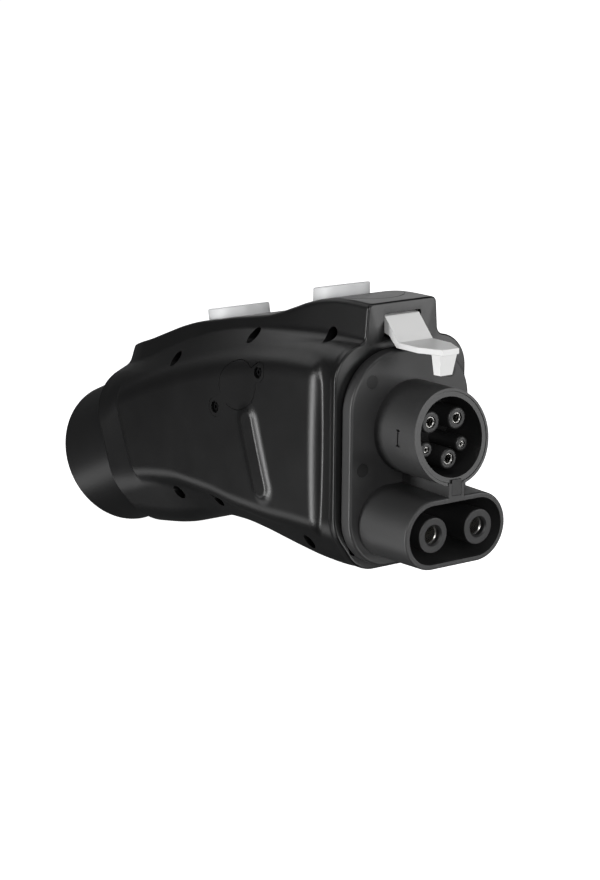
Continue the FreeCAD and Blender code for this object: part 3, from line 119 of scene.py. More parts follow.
def buildCamera():
    yaw, pitch, roll = (math.radians(studio[k]) for k in ("yaw", "pitch", "roll"))
    ahead = Vector((math.sin(yaw) * math.cos(pitch), math.cos(yaw) * math.cos(pitch), -math.sin(pitch)))
    side = Vector((math.cos(yaw), -math.sin(yaw), 0))
    above = side.cross(ahead)
    right = side * math.cos(roll) + above * math.sin(roll)
    top = above * math.cos(roll) - side * math.sin(roll)
    lens = bpy.data.cameras.new("photoCamera")
    lens.lens = studio["focalPixels"] / studio["photoTall"] * studio["sensor"]
    lens.sensor_fit = "VERTICAL"
    lens.sensor_height = studio["sensor"]
    lens.sensor_width = studio["sensor"] * studio["photoWide"] / studio["photoTall"]
    lens.clip_end = studio["farthest"]
    camera = bpy.data.objects.new("photoCamera", lens)
    bpy.context.collection.objects.link(camera)
    turn = Matrix((right, top, -ahead)).transposed().to_4x4()
    camera.matrix_world = Matrix.Translation(place(*studio["cameraAt"])) @ turn
    bpy.context.scene.camera = camera


def addLight(name, at, wide, tall, power, aim):
    lamp = bpy.data.lights.new(name, "AREA")
    lamp.shape = "RECTANGLE"
    lamp.size, lamp.size_y = wide, tall
    lamp.energy = power
    holder = bpy.data.objects.new(name, lamp)
    bpy.context.collection.objects.link(holder)
    holder.location = Vector(at)
    holder.rotation_euler = (Vector(aim) - Vector(at)).to_track_quat("-Z", "Y").to_euler()


def buildSky():   # dim light on the object, plain white where the camera sees it
    world = bpy.data.worlds.new("paleStudio")
    world.use_nodes = True
    bpy.context.scene.world = world
    made, links = world.node_tree.nodes, world.node_tree.links
    made.clear()
    out, mixed, path = (made.new("ShaderNode" + kind) for kind in ("OutputWorld", "MixShader", "LightPath"))
    links.new(path.outputs["Is Camera Ray"], mixed.inputs[0])
    for plug, tint, power in ((1, studio["skyTint"], studio["skyPower"]), (2, (1, 1, 1, 1), studio["skySeen"])):
        glow = made.new("ShaderNodeBackground")
        glow.inputs["Color"].default_value = tint
        glow.inputs["Strength"].default_value = power
        links.new(glow.outputs[0], mixed.inputs[plug])
    links.new(mixed.outputs[0], out.inputs[0])


buildCamera()
for name, settings in lights.items():
    addLight(name, *settings)
buildSky()

nothingSelected()
bpy.ops.mesh.primitive_plane_add(size=studio["floorSize"], location=(0, 0, 0))
floor = bpy.context.object
floor.name = "studioFloor"
# The paper is only a white backdrop, as in the cut-out photo: it throws no light back and takes no shadow.
floor.visible_glossy = floor.visible_diffuse = floor.visible_transmission = floor.visible_shadow = False
bpy.context.scene.view_settings.view_transform = "Standard"
print("studio ready")


class Value:   # a number on a shader's wire
    def __init__(self, shader, wire):
        self.shader = shader
        self.wire = wire

    def math(self, kind, first, second):
        made = self.shader.node("Math", {"operation": kind}, {0: first, 1: second})
        return Value(self.shader, made.outputs[0])

    def __add__(self, other): return self.math("ADD", self, other)
    def __radd__(self, other): return self.math("ADD", self, other)
    def __sub__(self, other): return self.math("SUBTRACT", self, other)
    def __rsub__(self, other): return self.math("SUBTRACT", other, self)
    def __mul__(self, other): return self.math("MULTIPLY", self, other)
    def __rmul__(self, other): return self.math("MULTIPLY", self, other)


class Shader:
    def __init__(self, name):
        self.material = bpy.data.materials.new(name)
        self.material.use_nodes = True
        self.tree = self.material.node_tree
        self.tree.nodes.clear()
        self.out = self.node("OutputMaterial")
        self.body = self.node("BsdfPrincipled")
        self.tree.links.new(self.body.outputs[0], self.out.inputs[0])
        self.spot = self.node("TexCoord").outputs["Object"]

    def feed(self, socket, value):   # a wire or a plain value into a socket
        if isinstance(value, Value):
            value = value.wire
        if isinstance(value, bpy.types.NodeSocket):
            self.tree.links.new(value, socket)
        elif socket.type == "RGBA":
            socket.default_value = (*value, 1)
        else:
            socket.default_value = value

    def node(self, kind, settings=None, plugs=None):
        made = self.tree.nodes.new("ShaderNode" + kind)
        for key, value in (settings or {}).items():
            setattr(made, key, value)
        for key, value in (plugs or {}).items():
            self.feed(made.inputs[key], value)
        return made

    def noise(self, scale, detail, rough, at=None):
        made = self.node("TexNoise", None, {"Vector": at or self.spot, "Scale": scale, "Detail": detail,
                                            "Roughness": rough})
        return Value(self, made.outputs["Fac"])

    def mix(self, value, first, second):
        made = self.node("Mix", {"data_type": "RGBA"})
        plugs = {socket.identifier: socket for socket in made.inputs}
        for key, plug in (("Factor_Float", value), ("A_Color", first), ("B_Color", second)):
            self.feed(plugs[key], plug)
        return next(s for s in made.outputs if s.identifier == "Result_Color")

    def bump(self, height, depth):
        return self.node("Bump", None, {"Height": height, "Distance": depth}).outputs[0]

    def finish(self, **plugs):
        names = {"colour": "Base Color", "rough": "Roughness", "metal": "Metallic", "normal": "Normal",
                 "shine": "Specular IOR Level", "glow": "Emission Color", "glowPower": "Emission Strength"}
        for key, value in plugs.items():
            self.feed(self.body.inputs[names[key]], value)
        return self.material


def mouldedPlastic(name, shade, rough, grain, depth, shine=0.5, cloudy=0.12):
    # Injection moulded plastic: fine spark-eroded grain, faint cloudiness and handling marks.
    s = Shader(name)
    pebble = s.noise(grain, 3.0, 0.6)
    cloud = s.noise(14.0, 3.0, 0.55)
    smear = s.noise(60.0, 4.0, 0.6)
    dark = tuple(c * (1 - cloudy) for c in shade)
    light = tuple(min(1.0, c * (1 + cloudy)) for c in shade)
    colour = s.mix((cloud - 0.35) * 2.2, dark, light)
    wear = rough + (cloud - 0.5) * 0.06 + (smear - 0.5) * 0.07 + (pebble - 0.5) * 0.05
    return s.finish(colour=colour, rough=wear, normal=s.bump(pebble, depth), shine=shine)


def brightMetal(name, shade, rough):   # drawn metal: fine lines along the part, with a little tarnish
    s = Shader(name)
    stretched = s.node("Mapping", None, {"Vector": s.spot, "Scale": (1.0, 0.06, 1.0)}).outputs[0]
    brushed = s.noise(1200.0, 3.0, 0.6, stretched)
    tarnish = s.noise(180.0, 4.0, 0.6)
    colour = s.mix((tarnish - 0.4) * 1.6, tuple(c * 0.82 for c in shade), shade)
    return s.finish(colour=colour, metal=1.0, rough=rough + (brushed - 0.5) * 0.12 + (tarnish - 0.5) * 0.1,
                    normal=s.bump(brushed, 0.00001))


def backdropPaper(name):
    s = Shader(name)
    fibre = s.noise(350.0, 4.0, 0.6)
    cloud = s.noise(3.0, 2.0, 0.5)
    shade = s.mix(cloud, (0.9, 0.9, 0.9), (0.93, 0.93, 0.93))
    return s.finish(colour=shade, rough=0.75 + (fibre - 0.5) * 0.1, normal=s.bump(fibre, 0.00002),
                    glow=(1.0, 1.0, 1.0), glowPower=1.0)


# name, colour, roughness, and for plastic the grain's scale and depth, its shine and its cloudiness
finishes = {
    "housing": mouldedPlastic("housingPlastic", (0.0022, 0.0022, 0.0023), 0.34, 1500.0, 0.000016),
    # shroud: black plastic with its tone raised well above the housing's, painted light standing in for the front
    # light on the flange face
    "shroud": mouldedPlastic("shroudPlasticPaintedLight", (0.025, 0.025, 0.0253), 0.45, 1700.0, 0.000014),
    "barrel": mouldedPlastic("barrelPlastic", (0.004, 0.004, 0.0041), 0.34, 1500.0, 0.000012),
    "insert": mouldedPlastic("insertPlastic", (0.012, 0.012, 0.0123), 0.42, 1900.0, 0.00001),
    "plug": mouldedPlastic("coverPlastic", (0.009, 0.009, 0.0092), 0.5, 1900.0, 0.00001),
    "rubber": mouldedPlastic("sealRubber", (0.004, 0.004, 0.004), 0.7, 2400.0, 0.00001, 0.3),
    "latch": mouldedPlastic("latchPlastic", (0.7, 0.7, 0.695), 0.38, 1500.0, 0.00001, 0.5, 0.02),
    "button": mouldedPlastic("buttonPlastic", (0.62, 0.625, 0.63), 0.46, 1300.0, 0.00001, 0.5, 0.03),
    "silver": brightMetal("silverContact", (0.86, 0.85, 0.82), 0.24),
    "copper": brightMetal("copperBar", (0.72, 0.36, 0.22), 0.34),
    "steel": brightMetal("zincSteel", (0.58, 0.58, 0.58), 0.34),
    # near-black screw steel: the heads' dark colour is painted shade standing in for deep recesses
    "screwSteelPaintedShade": brightMetal("steelPaintedRecessShade", (0.01, 0.01, 0.0105), 0.56),
    "board": mouldedPlastic("boardGreen", (0.02, 0.16, 0.06), 0.35, 700.0, 0.00001),
    "chip": mouldedPlastic("chipBlack", (0.012, 0.012, 0.012), 0.5, 2400.0, 0.00001),
    "cell": mouldedPlastic("cellWrap", (0.05, 0.16, 0.38), 0.28, 300.0, 0.000005),
    "floor": backdropPaper("floorPaper"),
}
floor.data.materials.append(finishes["floor"])

nodeFinish = {   # the CAD nodes that stay
    "shroud": ["plug_shroud"],
    "barrel": ["inlet_barrel"],
    "insert": ["contact_insert", "dc_contact_carrier", "inlet_contact_block", "inlet_dc_sleeve_left",
               "inlet_dc_sleeve_right", "inlet_signal_sleeve_upper", "inlet_signal_sleeve_lower", "cell_tray"],
    "plug": ["flange_plugs"],
    "rubber": ["flange_gasket", "inlet_seal"],
    "latch": ["latch_lever"],
    "silver": ["line_contact_left", "line_contact_right", "earth_contact", "pilot_contact", "proximity_contact",
               "dc_contact_left", "dc_contact_right", "inlet_dc_pin_left", "inlet_dc_pin_right",
               "inlet_signal_pins"],
    "copper": ["busbar_left", "busbar_right"],
    "steel": ["latch_pin", "flange_screws", "board_screws", "terminal_bolts", "terminal_nuts", "service_socket"],
    # hatch screws get the near-black steel, painted shade for their recesses
    "screwSteelPaintedShade": ["hatch_screws"],
    "board": ["control_board", "switch_board"],
    "chip": ["board_chips", "start_switch"],
    "cell": ["backup_cell"],
}
for finish, names in nodeFinish.items():
    for name in names:
        for holder in nodes[name].material_slots:
            holder.material = finishes[finish]
print("materials ready")


# Lines of the body seen from the side (Y, height), and how far each lies from the middle (Y, across).
housing = {
    "top": [(20, 57.7), (36, 57.9), (50, 57.8), (60, 57.2), (72, 55.2), (84, 51.9), (96, 47.5), (106, 43.9),
            (114, 41.6), (127, 38.9), (142, 35.9), (157.4, 32.4), (172.7, 28.9), (188, 24.2), (203.2, 18.4),
            (218.5, 12.6), (233.7, 7.9), (249, 3.6)],
    "topHalf": [(36.5, 20.3), (48, 20.3), (88.2, 20), (113.5, 19.5), (137.5, 19), (163, 18.6), (199.4, 18.2),
                (213.5, 17.6), (226.6, 15.8), (236.4, 12.4), (243.3, 8.8), (249, 6.2)],
    "foot": [(20, 40), (36, 40.1), (52, 39.9), (68.3, 39.2), (84.4, 38.2), (100.5, 36.7), (116.5, 34.7),
             (132.6, 32.1), (148.7, 28.6), (164.8, 24.1), (180.9, 18.5), (197, 11.8), (213.1, 4.6), (229.2, -0.8),
             (245.3, -5)],
    "footHalf": [(36.5, 21.7), (63.5, 21.8), (86.8, 21.8), (112.4, 21.5), (136.1, 21.2), (161, 21.2),
                 (196.2, 21.2), (209.8, 21.2), (222.5, 20.2), (232.6, 17.6), (239.7, 14.4), (245.3, 12)],
    "shoulder": [(36.5, 36.6), (52.2, 34.4), (67.9, 31.7), (83.7, 28.8), (99.4, 25.5), (115.1, 21.8), (130.8, 17.7),
                 (146.6, 13.1), (162.3, 8.2), (178, 3.1), (193.7, -1.8), (209.4, -6.3), (225.2, -10.3),
                 (240.9, -14.9)],
    "shoulderHalf": [(36.5, 39.2), (39, 39), (42.5, 37.8), (48, 37.4), (63.2, 37.4), (85.8, 36.8), (110.3, 36.4),
                     (132.6, 36), (156.2, 36), (190.6, 36.4), (204.8, 37.1), (218.5, 37.9), (228.7, 38.8),
                     (235.4, 39.3), (240.9, 39.6)],
    "lowSide": [(36.5, -47.3), (50.7, -48.6), (64.9, -49.6), (79.1, -50.1), (93.3, -50), (107.6, -49.6),
                (121.8, -48.9), (136, -48.1), (150.2, -47.6), (164.4, -47.7), (178.6, -49.2), (192.8, -52.5),
                (207, -56.7), (221.2, -60.9)],
    "lowSideHalf": [(36.5, 39.2), (39, 39), (42.5, 37.8), (48, 37.4), (60.4, 37.2), (77.5, 36.6), (97.5, 36.2),
                    (115.9, 36), (137.2, 36), (170.3, 37.2), (185.3, 37.8), (198.9, 38.4), (208.5, 38.9),
                    (215.3, 39.3), (221.2, 39.6)],
    "belly": [(20, -67.6), (36.5, -68.5), (49.4, -69), (64.2, -68.5), (78.9, -67.1), (93.6, -65.4), (108.3, -64),
              (123, -63.4), (137.7, -64.2), (152.5, -67.3), (167.2, -72.1), (181.9, -77.3), (196.6, -80.9),
              (211.3, -83.5)],
    "bellyHalf": [(36.5, 24), (94.7, 24), (132.3, 23.4), (160.7, 21.6), (188, 22.6), (211.3, 24)],
    "creaseTop": [(20, 30.3), (43.3, 30.8), (66.7, 30.2), (90, 27.8), (113.3, 23.8), (136.7, 18.2), (160, 11.3),
                  (183.3, 3.4), (206.7, -5.5), (230, -15.2)],
    "creaseLow": [(20, -51.8), (43.3, -51.8), (66.7, -52.1), (90, -53), (113.3, -52.6), (136.7, -50.9),
                  (160, -50.6), (183.3, -53.4), (206.7, -58.6), (230, -64)],
    # Y and height of each station's centre, its tilt, and its five corner radii from the spine's edge to the belly
    "stations": [
        (36.5, 0, 0, 3, 6, 24, 24, 18), (42.5, 0, 0, 3, 6.5, 23, 22, 18), (48, 0, 0, 3, 7, 22, 20, 16),
        (62, -2.5, 2.4, 3, 7, 19, 16, 14), (82, -6, 6, 3, 7, 16, 14, 12), (104, -9.6, 10, 2.6, 6, 14, 12, 10),
        (124, -12.6, 14, 2.3, 5.4, 13, 12, 10), (146, -15.8, 18, 2.2, 5, 13, 12, 10),
        (165, -18.6, 21.4, 2.2, 5, 13, 14, 12), (181.4, -22, 23.37, 2.2, 5, 14, 16, 14),
        (195.2, -27.7, 23.37, 2.2, 5, 17, 20, 17), (208.1, -33.2, 23.37, 2.2, 5, 21, 24, 20),
        (217.2, -37.2, 23.37, 2.8, 6, 24, 27, 23), (223.7, -40, 23.37, 3.4, 8, 27, 29, 25),
        (229.2, -42.36, 23.37, 3.4, 9, 28, 30, 26)],
    # points along each side and round each corner of an outline
    "sideCounts": (10, 8, 12, 124, 10, 10), "cornerCounts": (10, 9, 16, 14, 12),
    # from, to and step of the outlines along the body, closest where the rib and the ends are
    "runs": [(38.2, 60, 0.6), (60, 80, 1.3), (80, 112, 0.42), (112, 206, 1.5), (206, 228.4, 0.6)],
    "panelHalf": 40.8, "panelEase": 1.3, "panelCover": 3.0, "panelTopRound": 13.0, "panelLowRound": 12.0,
    "panelFront": 44.5, "panelFrontRound": 11.5, "panelRear": 212.3, "panelRearRound": 5.0, "panelReach": 5,
    "endPull": 0.35, "endPullMost": 12.0, "melt": 0.9,
    "edgeRound": 1.1, "rearRound": 1.3, "roundSteps": 5,
    "wall": 3.0, "frontWall": 3.5, "hollowEnd": 213.0, "hollowLoops": 64,
    "rib": ((101.4, -5.9), (90.8, -36.4)), "ribFlat": 3.9, "ribRise": 1.6, "ribEdge": 1.1, "ribFoot": 4.8,
    "ribSlope": 0.6, "ribFrom": 34,
}
print("building housing")


def monotone(knots, table, spots):   # smooth curve through a table without overshoot
    knots = np.asarray(knots, float)
    table = np.asarray(table, float).reshape(len(knots), -1)
    gap = np.diff(knots)[:, None]
    slope = np.diff(table, axis=0) / gap
    tangent = np.zeros_like(table)
    tangent[0], tangent[-1] = slope[0], slope[-1]
    before, after = slope[:-1], slope[1:]
    w1, w2 = 2 * gap[1:] + gap[:-1], gap[1:] + 2 * gap[:-1]
    same = before * after > 0
    harmonic = (w1 + w2) / (w1 / np.where(same, before, 1) + w2 / np.where(same, after, 1))
    tangent[1:-1] = np.where(same, harmonic, 0)
    spots = np.asarray(spots, float)
    i = np.clip(np.searchsorted(knots, spots, side="right") - 1, 0, len(knots) - 2)
    h = (knots[i + 1] - knots[i])[:, None]
    t = ((spots - knots[i]) / h[:, 0])[:, None]
    return ((1 + 2 * t) * (1 - t) ** 2 * table[i] + t * (1 - t) ** 2 * h * tangent[i]
            + t * t * (3 - 2 * t) * table[i + 1] + t * t * (t - 1) * h * tangent[i + 1])


def lineAt(name, y):
    knots, values = zip(*housing[name])
    return float(monotone(knots, values, [y])[0, 0])


def crossing(name, y, z, tilt):   # where a side-view line crosses a station, up from its centre
    s, c = math.sin(math.radians(tilt)), math.cos(math.radians(tilt))
    v = (lineAt(name, y) - z) / c
    for _ in range(14):
        v = (lineAt(name, y + v * s) - z) / c
    return v, y + v * s


def roundedOutline(corners, radii, sideCounts, cornerCounts):
    # Points along a half outline whose corners are rounded, the same number every time.
    p = np.asarray(corners, float)
    reach, halves = [], []
    for i in range(1, len(p) - 1):
        a, b = p[i - 1] - p[i], p[i + 1] - p[i]
        half = math.acos(np.clip(a @ b / (np.linalg.norm(a) * np.linalg.norm(b)), -1, 1)) / 2
        halves.append(half)
        reach.append(radii[i - 1] / math.tan(half))
    most = 0.96   # share of a side that its two roundings may take
    for i in range(len(p) - 1):
        length = np.linalg.norm(p[i + 1] - p[i])
        before = reach[i - 1] if i > 0 else 0
        after = reach[i] if i < len(reach) else 0
        if before + after > most * length:
            k = most * length / (before + after)
            if i > 0:
                reach[i - 1] *= k
            if i < len(reach):
                reach[i] *= k
    points = []
    start = p[0]
    for i in range(1, len(p) - 1):
        a, b = p[i - 1] - p[i], p[i + 1] - p[i]
        a, b = a / np.linalg.norm(a), b / np.linalg.norm(b)
        t, half = reach[i - 1], halves[i - 1]
        begin, end = p[i] + a * t, p[i] + b * t
        for k in range(sideCounts[i - 1]):
            points.append(start + (begin - start) * k / sideCounts[i - 1])
        r = t * math.tan(half)
        middle = p[i] + (a + b) / np.linalg.norm(a + b) * t / math.cos(half)
        a0 = math.atan2(*(begin - middle)[::-1])
        sweep = math.atan2(*(end - middle)[::-1]) - a0
        sweep = (sweep + math.pi) % (2 * math.pi) - math.pi
        for k in range(cornerCounts[i - 1]):
            angle = a0 + sweep * k / cornerCounts[i - 1]
            points.append(middle + r * np.array((math.cos(angle), math.sin(angle))))
        start = end
    for k in range(sideCounts[-1] + 1):
        points.append(start + (p[-1] - start) * k / sideCounts[-1])
    return np.array(points)


def rounding(depth, radius):   # how far a rounded end is drawn in at a depth behind it
    depth = np.asarray(depth, float)
    inside = np.clip(depth, 0, radius)
    return radius - np.sqrt(radius ** 2 - (radius - inside) ** 2) + np.maximum(-depth, 0) * 3


def softUnion(a, b, melt):   # larger of two radii, with the crease between them filled
    h = np.clip(0.5 + 0.5 * (a - b) / melt, 0, 1)
    return b + (a - b) * h + melt * h * (1 - h)


def outwardPush(points):   # unit normals of an outline, pointing out of the body
    ahead = np.gradient(points, axis=0)
    out = np.stack((-ahead[:, 1], ahead[:, 0]), 1)
    out /= np.linalg.norm(out, axis=1)[:, None]
    return out if (out * points).sum() > 0 else -out


def panelOutline(y, z, tilt, inset=0.0):
    # The raised side panel: slightly crowned, rounded over at the top, the bottom and both ends.
    draw = float(rounding(y - housing["panelFront"], housing["panelFrontRound"])
                 + rounding(housing["panelRear"] - y, housing["panelRearRound"]))
    pull = min(draw, housing["endPullMost"]) * housing["endPull"]
    top = crossing("creaseTop", y, z, tilt)[0] + housing["panelCover"] - pull - inset
    low = crossing("creaseLow", y, z, tilt)[0] - housing["panelCover"] + pull + inset
    middle, reach = (top + low) / 2, (top - low) / 2
    v = middle + reach * np.cos(np.linspace(0, math.pi, 181))
    u = housing["panelHalf"] - draw - housing["panelEase"] * ((v - middle) / reach) ** 2
    u = u - rounding(top - v, housing["panelTopRound"]) - rounding(v - low, housing["panelLowRound"])
    u = np.maximum(u - inset, 0.5)
    flat = np.linspace(0, 1, 20)[:, None]
    lead = np.array((0, top)) + flat[:-1] * (np.array((u[0], v[0])) - (0, top))
    tail = np.array((u[-1], v[-1])) + flat[1:] * (np.array((0, low)) - (u[-1], v[-1]))
    return np.concatenate((lead, np.stack((u, v), 1), tail))


def insetCorners(corners, inset):   # the same corners after every side has moved inwards
    p = [np.array(q, float) for q in corners]
    lines = []
    for a, b in zip(p, p[1:]):
        way = (b - a) / np.linalg.norm(b - a)
        lines.append((a + np.array((-way[1], way[0])) * -inset, way))
    moved = [p[0] - (0, inset)]
    for (a, u), (b, w) in zip(lines, lines[1:]):
        k = np.linalg.solve(np.array((u, -w)).T, b - a)
        moved.append(a + u * k[0])
    return moved + [p[-1] + (0, inset)]


def housingRing(row, inset=0.0):
    # One outline across the body: the base form melted together with the raised side panel.
    y, z, tilt = row[:3]
    corners, radii = [], list(row[3:8])
    for name in ("top", "foot", "shoulder", "lowSide", "belly"):
        v, at = crossing(name, y, z, tilt)
        corners.append((lineAt(name + "Half", at), v))
    corners = [(0, corners[0][1])] + corners + [(0, corners[-1][1])]
    if inset:
        corners = insetCorners(corners, inset)
        radii = [max(r + (inset if i == 1 else -inset), 0.6) for i, r in enumerate(radii)]
    base = roundedOutline(corners, radii, housing["sideCounts"], housing["cornerCounts"])
    if housing["panelFront"] - housing["panelReach"] < y < housing["panelRear"] + housing["panelReach"]:
        side = panelOutline(y, z, tilt, inset)
        way = np.arctan2(side[:, 0], side[:, 1])
        far = np.hypot(side[:, 0], side[:, 1])
        angle = np.arctan2(base[:, 0], base[:, 1])
        own = np.hypot(base[:, 0], base[:, 1])
        joined = softUnion(own, np.interp(angle, way, far), housing["melt"])
        base = base * (joined / own)[:, None]
    return base


def spread(ring, y, z, tilt, side):   # an outline put in its place across the body
    s, c = math.sin(math.radians(tilt)), math.cos(math.radians(tilt))
    return np.stack((side * ring[:, 0], y + ring[:, 1] * s, z + ring[:, 1] * c), 1)


def raiseRib(points):   # finger rib on the flat of the side panel
    a, b = (np.array(q, float) for q in housing["rib"])
    flat = points[:, 1:3] - a
    run = b - a
    k = np.clip(flat @ run / (run @ run), 0, 1)[:, None]
    away = np.linalg.norm(flat - k * run, axis=1)
    edge, foot, slope = housing["ribEdge"], housing["ribFoot"], housing["ribSlope"]
    beyond = np.clip(away - housing["ribFlat"], 0, edge)
    crest = housing["ribRise"] - slope * edge / 2
    fade = np.clip(1 - (away - housing["ribFlat"] - edge) / foot, 0, 1) ** (slope * foot / crest)
    lift = np.where(fade < 1, crest * fade, housing["ribRise"] - slope * beyond ** 2 / (2 * edge))
    onSide = np.abs(points[:, 0]) > housing["ribFrom"]
    points[:, 0] += np.sign(points[:, 0]) * np.where(onSide, lift, 0)
    return points


def stationsAt(spots):
    knots = [s[0] for s in housing["stations"]]
    return monotone(knots, housing["stations"], spots)


def outerLoops(side):   # front face, its rounded edge, the body and the rounded lip of the collar
    steps = housing["roundSteps"]
    angles = [math.radians(90 * k / steps) for k in range(steps + 1)]
    front = housing["stations"][0][0]
    face = housingRing(stationsAt([front])[0])
    push = outwardPush(face)
    loops = [spread(face * 0.5, front, 0, 0, side)]
    r = housing["edgeRound"]
    for angle in angles:
        ring = face - push * (r * (1 - math.sin(angle)))
        loops.append(spread(ring, front + r * (1 - math.cos(angle)), 0, 0, side))
    for row in stationsAt(np.concatenate([np.arange(*run) for run in housing["runs"]])):
        loops.append(raiseRib(spread(housingRing(row), *row[:3], side)))
    y, z, tilt = housing["stations"][-1][:3]
    end = housingRing(stationsAt([y])[0])
    push = outwardPush(end)
    s, c = math.sin(math.radians(tilt)), math.cos(math.radians(tilt))
    r = housing["rearRound"]
    for angle in angles:
        inwards = r * (1 - math.sin(angle))
        ring = end - push * (r * (1 - math.cos(angle)))
        loops.append(spread(ring, y - inwards * c, z + inwards * s, tilt, side))
    return loops


def innerLoops(side):   # the hollow, a wall's thickness inside the body
    start = housing["stations"][0][0] + housing["frontWall"]
    rows = stationsAt(np.linspace(start, housing["hollowEnd"], housing["hollowLoops"]))
    return [spread(housingRing(row, housing["wall"]), *row[:3], side) for row in rows]


def solidFrom(name, points, faces):   # closed piece from points in metres and its faces
    mesh = bpy.data.meshes.new(name)
    mesh.from_pydata(points, [], faces)
    mesh.update()
    piece = bpy.data.objects.new(name, mesh)
    bpy.context.collection.objects.link(piece)
    turnOutward(piece)
    return piece


def ringSolid(name, loops, middle):   # closed half body from its loops, flat on the plane X = middle
    columns = len(loops[0])
    for loop in loops:
        loop[0, 0] = loop[-1, 0] = middle
    count = len(loops)
    faces = []
    for i in range(count - 1):
        for k in range(columns - 1):
            faces.append((i * columns + k, i * columns + k + 1, (i + 1) * columns + k + 1, (i + 1) * columns + k))
    faces.append(list(range(columns)))
    faces.append(list(range((count - 1) * columns, count * columns)))
    faces.append([i * columns for i in range(count)] + [i * columns + columns - 1 for i in reversed(range(count))])
    return solidFrom(name, [place(*q) for loop in loops for q in loop], faces)


def barrel(at, along, radius, length, sides=64):   # cylinder from a point along a direction, in mm
    nothingSelected()
    way = Vector(along).normalized()
    middle = place(*at) + way * length / 2000
    bpy.ops.mesh.primitive_cylinder_add(vertices=sides, radius=radius / 1000, depth=length / 1000, location=middle,
                                        rotation=way.to_track_quat("Z", "Y").to_euler())
    piece = bpy.context.object
    settle(piece)
    return piece


def softenEdges(piece, reach, segments):   # every edge of a simple piece, in mm
    editWhole(piece)
    bpy.ops.mesh.bevel(offset=reach / 1000, segments=segments, affect="EDGES")
    bpy.ops.object.mode_set(mode="OBJECT")


def block(low, high, edge=0.0):
    nothingSelected()
    low, high = place(*low), place(*high)
    bpy.ops.mesh.primitive_cube_add(size=1, location=(low + high) / 2)
    piece = bpy.context.object
    piece.scale = high - low
    settle(piece)
    if edge:
        softenEdges(piece, edge, 5)
    return piece


def combine(piece, kind, tools):   # Boolean with each tool in turn; the tools go
    for tool in tools:
        step = piece.modifiers.new("combine", "BOOLEAN")
        step.operation = kind
        step.solver = "EXACT"
        step.object = tool
        applyAll(piece)
        bpy.data.objects.remove(tool)
    return piece


def grooveTool(points, radius):   # thin closed tube along points, for an engraved line
    curve = bpy.data.curves.new("groove", "CURVE")
    curve.dimensions = "3D"
    curve.bevel_depth = radius / 1000
    curve.bevel_resolution = 2
    line = curve.splines.new("POLY")
    line.points.add(len(points) - 1)
    for spot, q in zip(line.points, points):
        spot.co = (*place(*q), 1)
    line.use_cyclic_u = True
    piece = bpy.data.objects.new("groove", curve)
    bpy.context.collection.objects.link(piece)
    onlySelect(piece)
    bpy.ops.object.convert(target="MESH")
    return bpy.context.object


def outlinePrism(name, outline, x0, x1):   # (Y, height) outline carried across from x0 to x1
    count = len(outline)
    points = [place(x0, y, z) for y, z in outline] + [place(x1, y, z) for y, z in outline]
    faces = [list(range(count)), list(range(count, 2 * count))]
    faces += [(i, (i + 1) % count, count + (i + 1) % count, count + i) for i in range(count)]
    return solidFrom(name, points, faces)


cutOuts = {
    # Y, height and distance from the middle of each screw's seat on the left side
    "screws": [(60.6, 40.6, 12.5), (118.3, 31.2, 14.5), (177.3, 10.4, 16.0), (171.9, -57.1, 20.0),
               (139.2, -54.2, 21.0), (66.0, -59.3, 20.0)],
    "recess": 3.5, "boss": 4.8, "bossFloor": 2.0, "screwHole": 1.6, "outside": 60,
    "latchSlot": ((-10.9, 30.0, 41.3), (10.9, 42.5, 52.8)), "slotRound": 1.2,
    "releaseAt": 82.3, "releaseHole": 13.9, "releaseFloor": 40.2, "wellTall": 30,
    "startAt": (164.0, 30.75), "startTilt": 12.5, "startHole": 15.9, "startDeep": 9,
    "lineRadius": 18.0, "lineFront": 63.5, "lineWidth": 0.28,
    # behind the plug: the round hole, the neck and the oval block's hole in the front wall
    "frontY": 30, "frontDeep": 12, "spigotHole": 23.2,
    "neckSlot": ((-12, 30, -43.4), (12, 42, 0)),
    "ovalSlot": ((-30, 30, -60), (30, 42, -26.5)), "ovalRound": 3.0,
    "bore": 37.42, "boreEnd": 61.0,
}
hatch = {
    "centre": (111.0, 9.8), "long": 14.8, "short": 11.8, "tilt": 15.0,
    "screws": [(94.9, 18.7), (128.7, -4.0)], "ear": 4.7, "gap": 0.24, "melt": 1.6,
    "recess": 3.0, "sink": 1.6, "outside": -50, "inside": -31, "points": 220,
}
inletRim = (0.0, 268.65, -59.41)
inletTilt = math.radians(housing["stations"][-1][2])
inletAhead = Vector((0, -math.cos(inletTilt), math.sin(inletTilt)))


def inletSpot(forward):   # point on the inlet's axis, in from its rim
    return (0.0, inletRim[1] - forward * math.cos(inletTilt), inletRim[2] + forward * math.sin(inletTilt))


def hatchOutline(grow):   # oval door with two ears, as one closed outline
    cy, cz = hatch["centre"]
    tilt = math.radians(hatch["tilt"])
    outline = []
    for i in range(hatch["points"]):
        angle = 2 * math.pi * i / hatch["points"]
        d = np.array((math.cos(angle), math.sin(angle)))
        along = d[0] * math.cos(tilt) - d[1] * math.sin(tilt)
        over = d[0] * math.sin(tilt) + d[1] * math.cos(tilt)
        oval = 1 / math.hypot(along / (hatch["long"] + grow), over / (hatch["short"] + grow))
        ear = 0.5
        for y, z in hatch["screws"]:
            c = np.array((y - cy, z - cz))
            reach, aside = c @ d, abs(c[0] * d[1] - c[1] * d[0])
            r = hatch["ear"] + grow
            if aside < r and reach > 0:
                ear = max(ear, reach + math.sqrt(r * r - aside * aside))
        far = softUnion(oval, ear, hatch["melt"])
        outline.append((cy + far * d[0], cz + far * d[1]))
    return outline


def surfaceX(piece, y, z):   # where the left side of a piece lies at a (Y, height) spot
    where = piece.ray_cast(place(-70, y, z), Vector((1, 0, 0)))[1]
    return where.x * 1000


